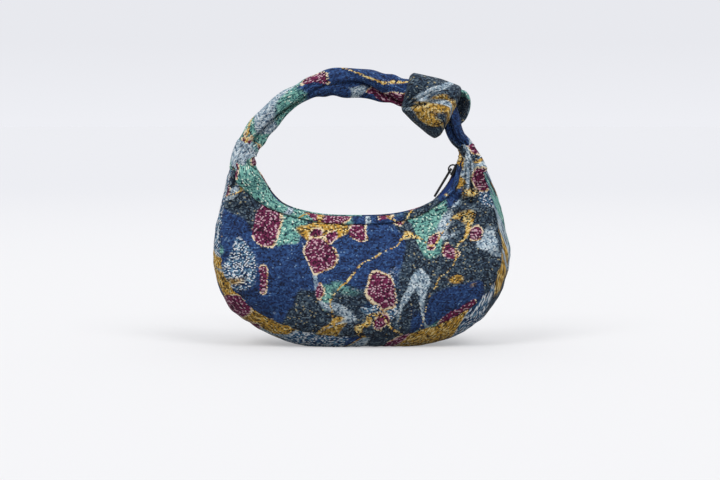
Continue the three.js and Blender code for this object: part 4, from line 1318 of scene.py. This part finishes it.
# Each station of the tail: x, y, height, width and depth.
TAIL_STATIONS = np.array([
    (0.0765, -0.0080, 0.2070, 0.0140, 0.0110),
    (0.0790, -0.0075, 0.1975, 0.0152, 0.0130),
    (0.0807, -0.0060, 0.1900, 0.0150, 0.0135),
    (0.0844, -0.0030, 0.1820, 0.0144, 0.0120),
    (0.0900, -0.0005, 0.1765, 0.0138, 0.0095),
    (0.0924, 0.0000, 0.1735, 0.0134, 0.0085),
])
WRAP_LOOK = {"coal": 0.42, "mint": 0.72, "plum": 0.06, "gold": 0.63, "hatch": 0.74, "line": 0.01}
# The loop's cloth is mostly the charcoal figure: partly the print's own colour, partly painted shade that
# darkens the hollow inside the loop.
LOOP_LOOK_WITH_PAINTED_SHADE = {"coal": 0.3, "mint": 0.66, "plum": 0.1, "hatch": 0.7}
TAIL_LOOK = {"coal": 0.62, "mint": 0.66, "plum": 0.5, "hatch": 0.5}


def knot_point(along, across):
    """A point by its distances along the knot's axis and across it."""
    along, across = np.broadcast_arrays(along, across)
    return KNOT_START + along[..., None] * KNOT_ALONG + across[..., None] * KNOT_ACROSS


def rounded_box(turn, power):
    """An oval by its turn where the power is 1. With a smaller power its sides are flatter, as a box's."""
    return tuple(np.sign(wave) * np.abs(wave) ** power for wave in (np.cos(turn), np.sin(turn)))


def knot_wrap():
    """Oval rings along the knot's axis, widening as a quarter sine and rounded over at both edges.
    Folds fan out from the lower corner where the cloth enters: round lobes between sharp creases."""
    share = np.linspace(0, 1, KNOT_COLUMNS)[:, None]
    along = mix(-KNOT_BEFORE, KNOT_LENGTH, share)
    grown = np.sin(math.pi / 2 * share)
    trim = KNOT_EDGE * np.clip(1 - (along + KNOT_BEFORE) / KNOT_EDGE, 0, 1) ** 2
    trim = trim + KNOT_END_EDGE * np.clip(1 - (KNOT_LENGTH - along) / KNOT_END_EDGE, 0, 1) ** 2
    turn = np.linspace(0, 2 * math.pi, KNOT_RING, endpoint=False)[None, :]
    reach, face = rounded_box(turn, KNOT_ROUNDING)
    width = mix(KNOT_START_WIDTH, KNOT_END_WIDTH, grown) / 2 - trim
    depth = mix(KNOT_START_DEPTH, KNOT_END_DEPTH, grown) / 2 - trim
    aside, up = along - FAN_ALONG, width * reach - FAN_ACROSS
    fan = np.degrees(np.arctan2(up, aside))
    front = np.interp(fan, FAN_FRONT, np.arange(len(FAN_FRONT)))
    back = np.interp(fan, FAN_BACK, np.arange(len(FAN_BACK)))
    creases = np.where(face > 0, front, back)
    lobes = np.abs(np.sin(math.pi * creases)) ** KNOT_FOLD_ROUNDING - KNOT_FOLD_SINK
    lift = KNOT_FOLD * lobes * smoothstep(np.hypot(aside, up), *FAN_SPREAD)
    lift = lift * smoothstep(np.abs(face), *FAN_FACE) + KNOT_WAVE * np.sin(5 * turn + 14 * share)
    line = knot_point(along[:, 0], 0.0)
    outward = KNOT_ACROSS - KNOT_SKEW * (1 - share) * KNOT_ALONG
    half_width = (width + KNOT_FOLD_ASIDE * lift) * reach
    return tube("knot_wrap_cloth", line, outward, half_width, -(depth + lift) * face)


def knot_loop():
    """The turn of cloth that stands out of the wrap's end: its section, a thick edge round a hollow with
    a floor behind, is swept through rather more than half a turn about a point at the end of the wrap."""
    turn = np.linspace(LOOP_TURN, -LOOP_TURN, LOOP_COLUMNS)
    high = np.where(turn > 0, LOOP_HIGH, LOOP_LOW)
    centre = knot_point(np.array(LOOP_ALONG), np.array(LOOP_ACROSS))
    line = knot_point(LOOP_ALONG + LOOP_REACH * np.cos(turn), LOOP_ACROSS + high * np.sin(turn))
    away = np.linalg.norm(line - centre, axis=-1, keepdims=True)
    section = closed_curve(LOOP_SECTION, RING_STEPS)
    swell = 1 + LOOP_WAVE * np.sin(7 * turn[:, None] + 9 * section[None, :, 0])
    half_depth = -LOOP_HALF_DEPTH * section[None, :, 1] * swell
    half_width = (section[None, :, 0] - 1) * away
    return tube("knot_loop_cloth", line, (line - centre) / away, half_width, half_depth)


def strap_tail():
    """Lapped rings along a curve from inside the wrap's end down into the right root."""
    stations = open_curve(TAIL_STATIONS, TAIL_COLUMNS)
    line = stations[:, :3]
    width, depth = stations[:, 3, None], stations[:, 4, None]
    lap, place = (np.linspace(*ends, len(line)) for ends in (TAIL_LAP, TAIL_CREASE))
    reach, face = lapped_rings(lap, place)
    ridges = 1 + TAIL_RIDGE * np.sin(9 * reach + run_length(line)[:, None] / TAIL_RIDGE_LENGTH)
    return tube("strap_tail_cloth", line, outward_of(line), width / 2 * reach, -depth / 2 * face * ridges)


KNOT_PIECES = (
    (knot_wrap, "knot_wrap", 15.0, WRAP_LOOK),
    (knot_loop, "knot_loop", 20.9, LOOP_LOOK_WITH_PAINTED_SHADE),
    (strap_tail, "strap_tail", 19.0, TAIL_LOOK),
)
for make, node, seed, look in KNOT_PIECES:
    turn_of_strap = make()
    finish_piece(turn_of_strap, tapestry(f"{node}_weave", seed, **look), "strap_cloth", node)
    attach(turn_of_strap, "strap")

# Strap roots: the ends of the walls and the gusset are pleated together into a narrow neck at each side,
# and the strap's end is sewn into it.
STRAP_HALF_SPAN = 0.097
STRAP_RISE = 0.0665
STRAP_CENTRE_HEIGHT = 0.165
HINGE_HEIGHT = next(j for j in frame["joints"] if j["name"] == "strap_swing")["pos_m"][2]
LEFT_NECK_WIDTH = 0.02
RIGHT_NECK_WIDTH = 0.014
STRAP_NECK_DEPTH = 0.009
RIGHT_HINGE_X = NECK_SHIFT + STRAP_HALF_SPAN * math.cos(
    math.asin((HINGE_HEIGHT - STRAP_CENTRE_HEIGHT) / STRAP_RISE))
LEFT_HINGE = np.array([2 * NECK_SHIFT - RIGHT_HINGE_X, 0.0, HINGE_HEIGHT])
RIGHT_HINGE = np.array([RIGHT_HINGE_X, 0.0, HINGE_HEIGHT])
ROOT_INSIDE = 61.0
ROOT_EDGE = 67.6
ROOT_FLUSH = 70.0
ROOT_PROUD = 0.0005
ROOT_LOOSE = 0.0006
ROOT_TUCK = 0.005
SLEEVE_TUCK = 0.0022
ROOT_BOXY = 0.42
NECK_PLEAT_SHARE = 0.45
ROOT_BEND_LOW = 0.0075
ROOT_BEND_HIGH = 0.006
ROOT_COLUMNS = 65
ROOT_RING = 144
# Shares of the length: at the five points of the line, and where each change begins and ends.
ROOT_STATIONS = (0.0, 0.2, 0.32, 0.78, 1.0)
ROOT_COMES_OUT = (0.1, 0.2)
ROOT_NARROWS = (0.28, 0.76)
ROOT_TURNS = (0.3, 0.78)
SLEEVE_TUCKS = (0.84, 1)


def root_sleeve(name, side, hinge, neck_width, sleeve, spread):
    """Rings from inside the ends of the walls, out over them, up to the neck and on over the strap's end,
    by straight stretches. They change by a smooth step from a rounded box to an oval, and the pleats of
    the walls run on over them."""
    flush = side * ROOT_FLUSH
    rim, edge = float(rim_radius(flush)), float(outline_radius(np.array([flush]))[0]) + spread
    middle = (rim + edge) / 2
    low, lip, foot = (polar(middle, side * a, 0.0) for a in (ROOT_INSIDE, ROOT_EDGE, ROOT_FLUSH))
    top = hinge + np.array(sleeve)
    share = np.linspace(0, 1, ROOT_COLUMNS)
    line = np.stack([np.interp(share, ROOT_STATIONS, [p[k] for p in (low, lip, foot, hinge, top)])
                     for k in range(3)], -1)
    radial = polar(1.0, flush, 0.0) - polar(0.0, flush, 0.0)
    run = top - hinge
    level = side * np.array([run[2], 0.0, -run[0]]) / np.linalg.norm(run)
    outward = mix(radial, level, smoothstep(share, *ROOT_TURNS)[:, None])
    outward /= np.linalg.norm(outward, axis=-1, keepdims=True)
    turn = np.linspace(0, 2 * math.pi, ROOT_RING, endpoint=False)[None, :]
    s = share[:, None]
    narrow = smoothstep(s, *ROOT_NARROWS)
    tucked = ROOT_TUCK * (1 - smoothstep(s, *ROOT_COMES_OUT)) + SLEEVE_TUCK * smoothstep(s, *SLEEVE_TUCKS)
    width = mix((edge - rim) / 2 + ROOT_LOOSE, neck_width / 2 + ROOT_LOOSE, narrow) - tucked
    depth = mix(NECK_DEPTH / 2, STRAP_NECK_DEPTH / 2, narrow) + ROOT_PROUD - tucked
    reach, face = rounded_box(turn, mix(ROOT_BOXY, 1.0, narrow))
    above_seam = seam_radius(np.array([flush])) - middle - reach * (edge - rim) / 2
    v = np.clip(above_seam / wall_height(flush), 0, 1)
    pleat = np.where(face > 0, neck_pleats(flush, v, FRONT), neck_pleats(flush, v, BACK))
    lift = pleat * mix(1.0, NECK_PLEAT_SHARE, narrow) * np.abs(face) ** 0.5
    return tube(name, line, outward, width * reach, -(depth + lift) * face)


def map_as_walls(sleeve):
    """Lays the walls' own map over a sleeve, so that their figures run on over it."""
    points = np.empty(3 * len(sleeve.data.vertices), np.float32)
    sleeve.data.vertices.foreach_get("co", points)
    corners = np.empty(len(sleeve.data.loops), np.int32)
    sleeve.data.loops.foreach_get("vertex_index", corners)
    places = points.reshape(-1, 3)[corners]
    places[:, 0] += np.where(places[:, 1] > 0, WALLS[1][2], WALLS[0][2])
    sleeve.data.uv_layers["cloth"].data.foreach_set("uv", places[:, [0, 2]].ravel())


# Each root: its side, hinge and neck's width, how far its sleeve runs on, how far it stands out, its weave.
ROOTS = (
    ("left", -1, LEFT_HINGE, LEFT_NECK_WIDTH, (0.0036, 0.0, 0.0068), 0.0, strap.data.materials[0]),
    ("right", 1, RIGHT_HINGE, RIGHT_NECK_WIDTH, (-0.0012, 0.0, 0.004), 0.0025, WALL_WEAVE),
)
for label, side, hinge, neck_width, sleeve, spread, weave in ROOTS:
    root = root_sleeve(f"{label}_root_cloth", side, hinge, neck_width, sleeve, spread)
    finish_piece(root, weave, "strap_cloth", f"{label}_strap_root")
    if weave is WALL_WEAVE:
        map_as_walls(root)
    HINGE_HEIGHT - ROOT_BEND_LOW
    HINGE_HEIGHT + ROOT_BEND_HIGH
    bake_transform(root)
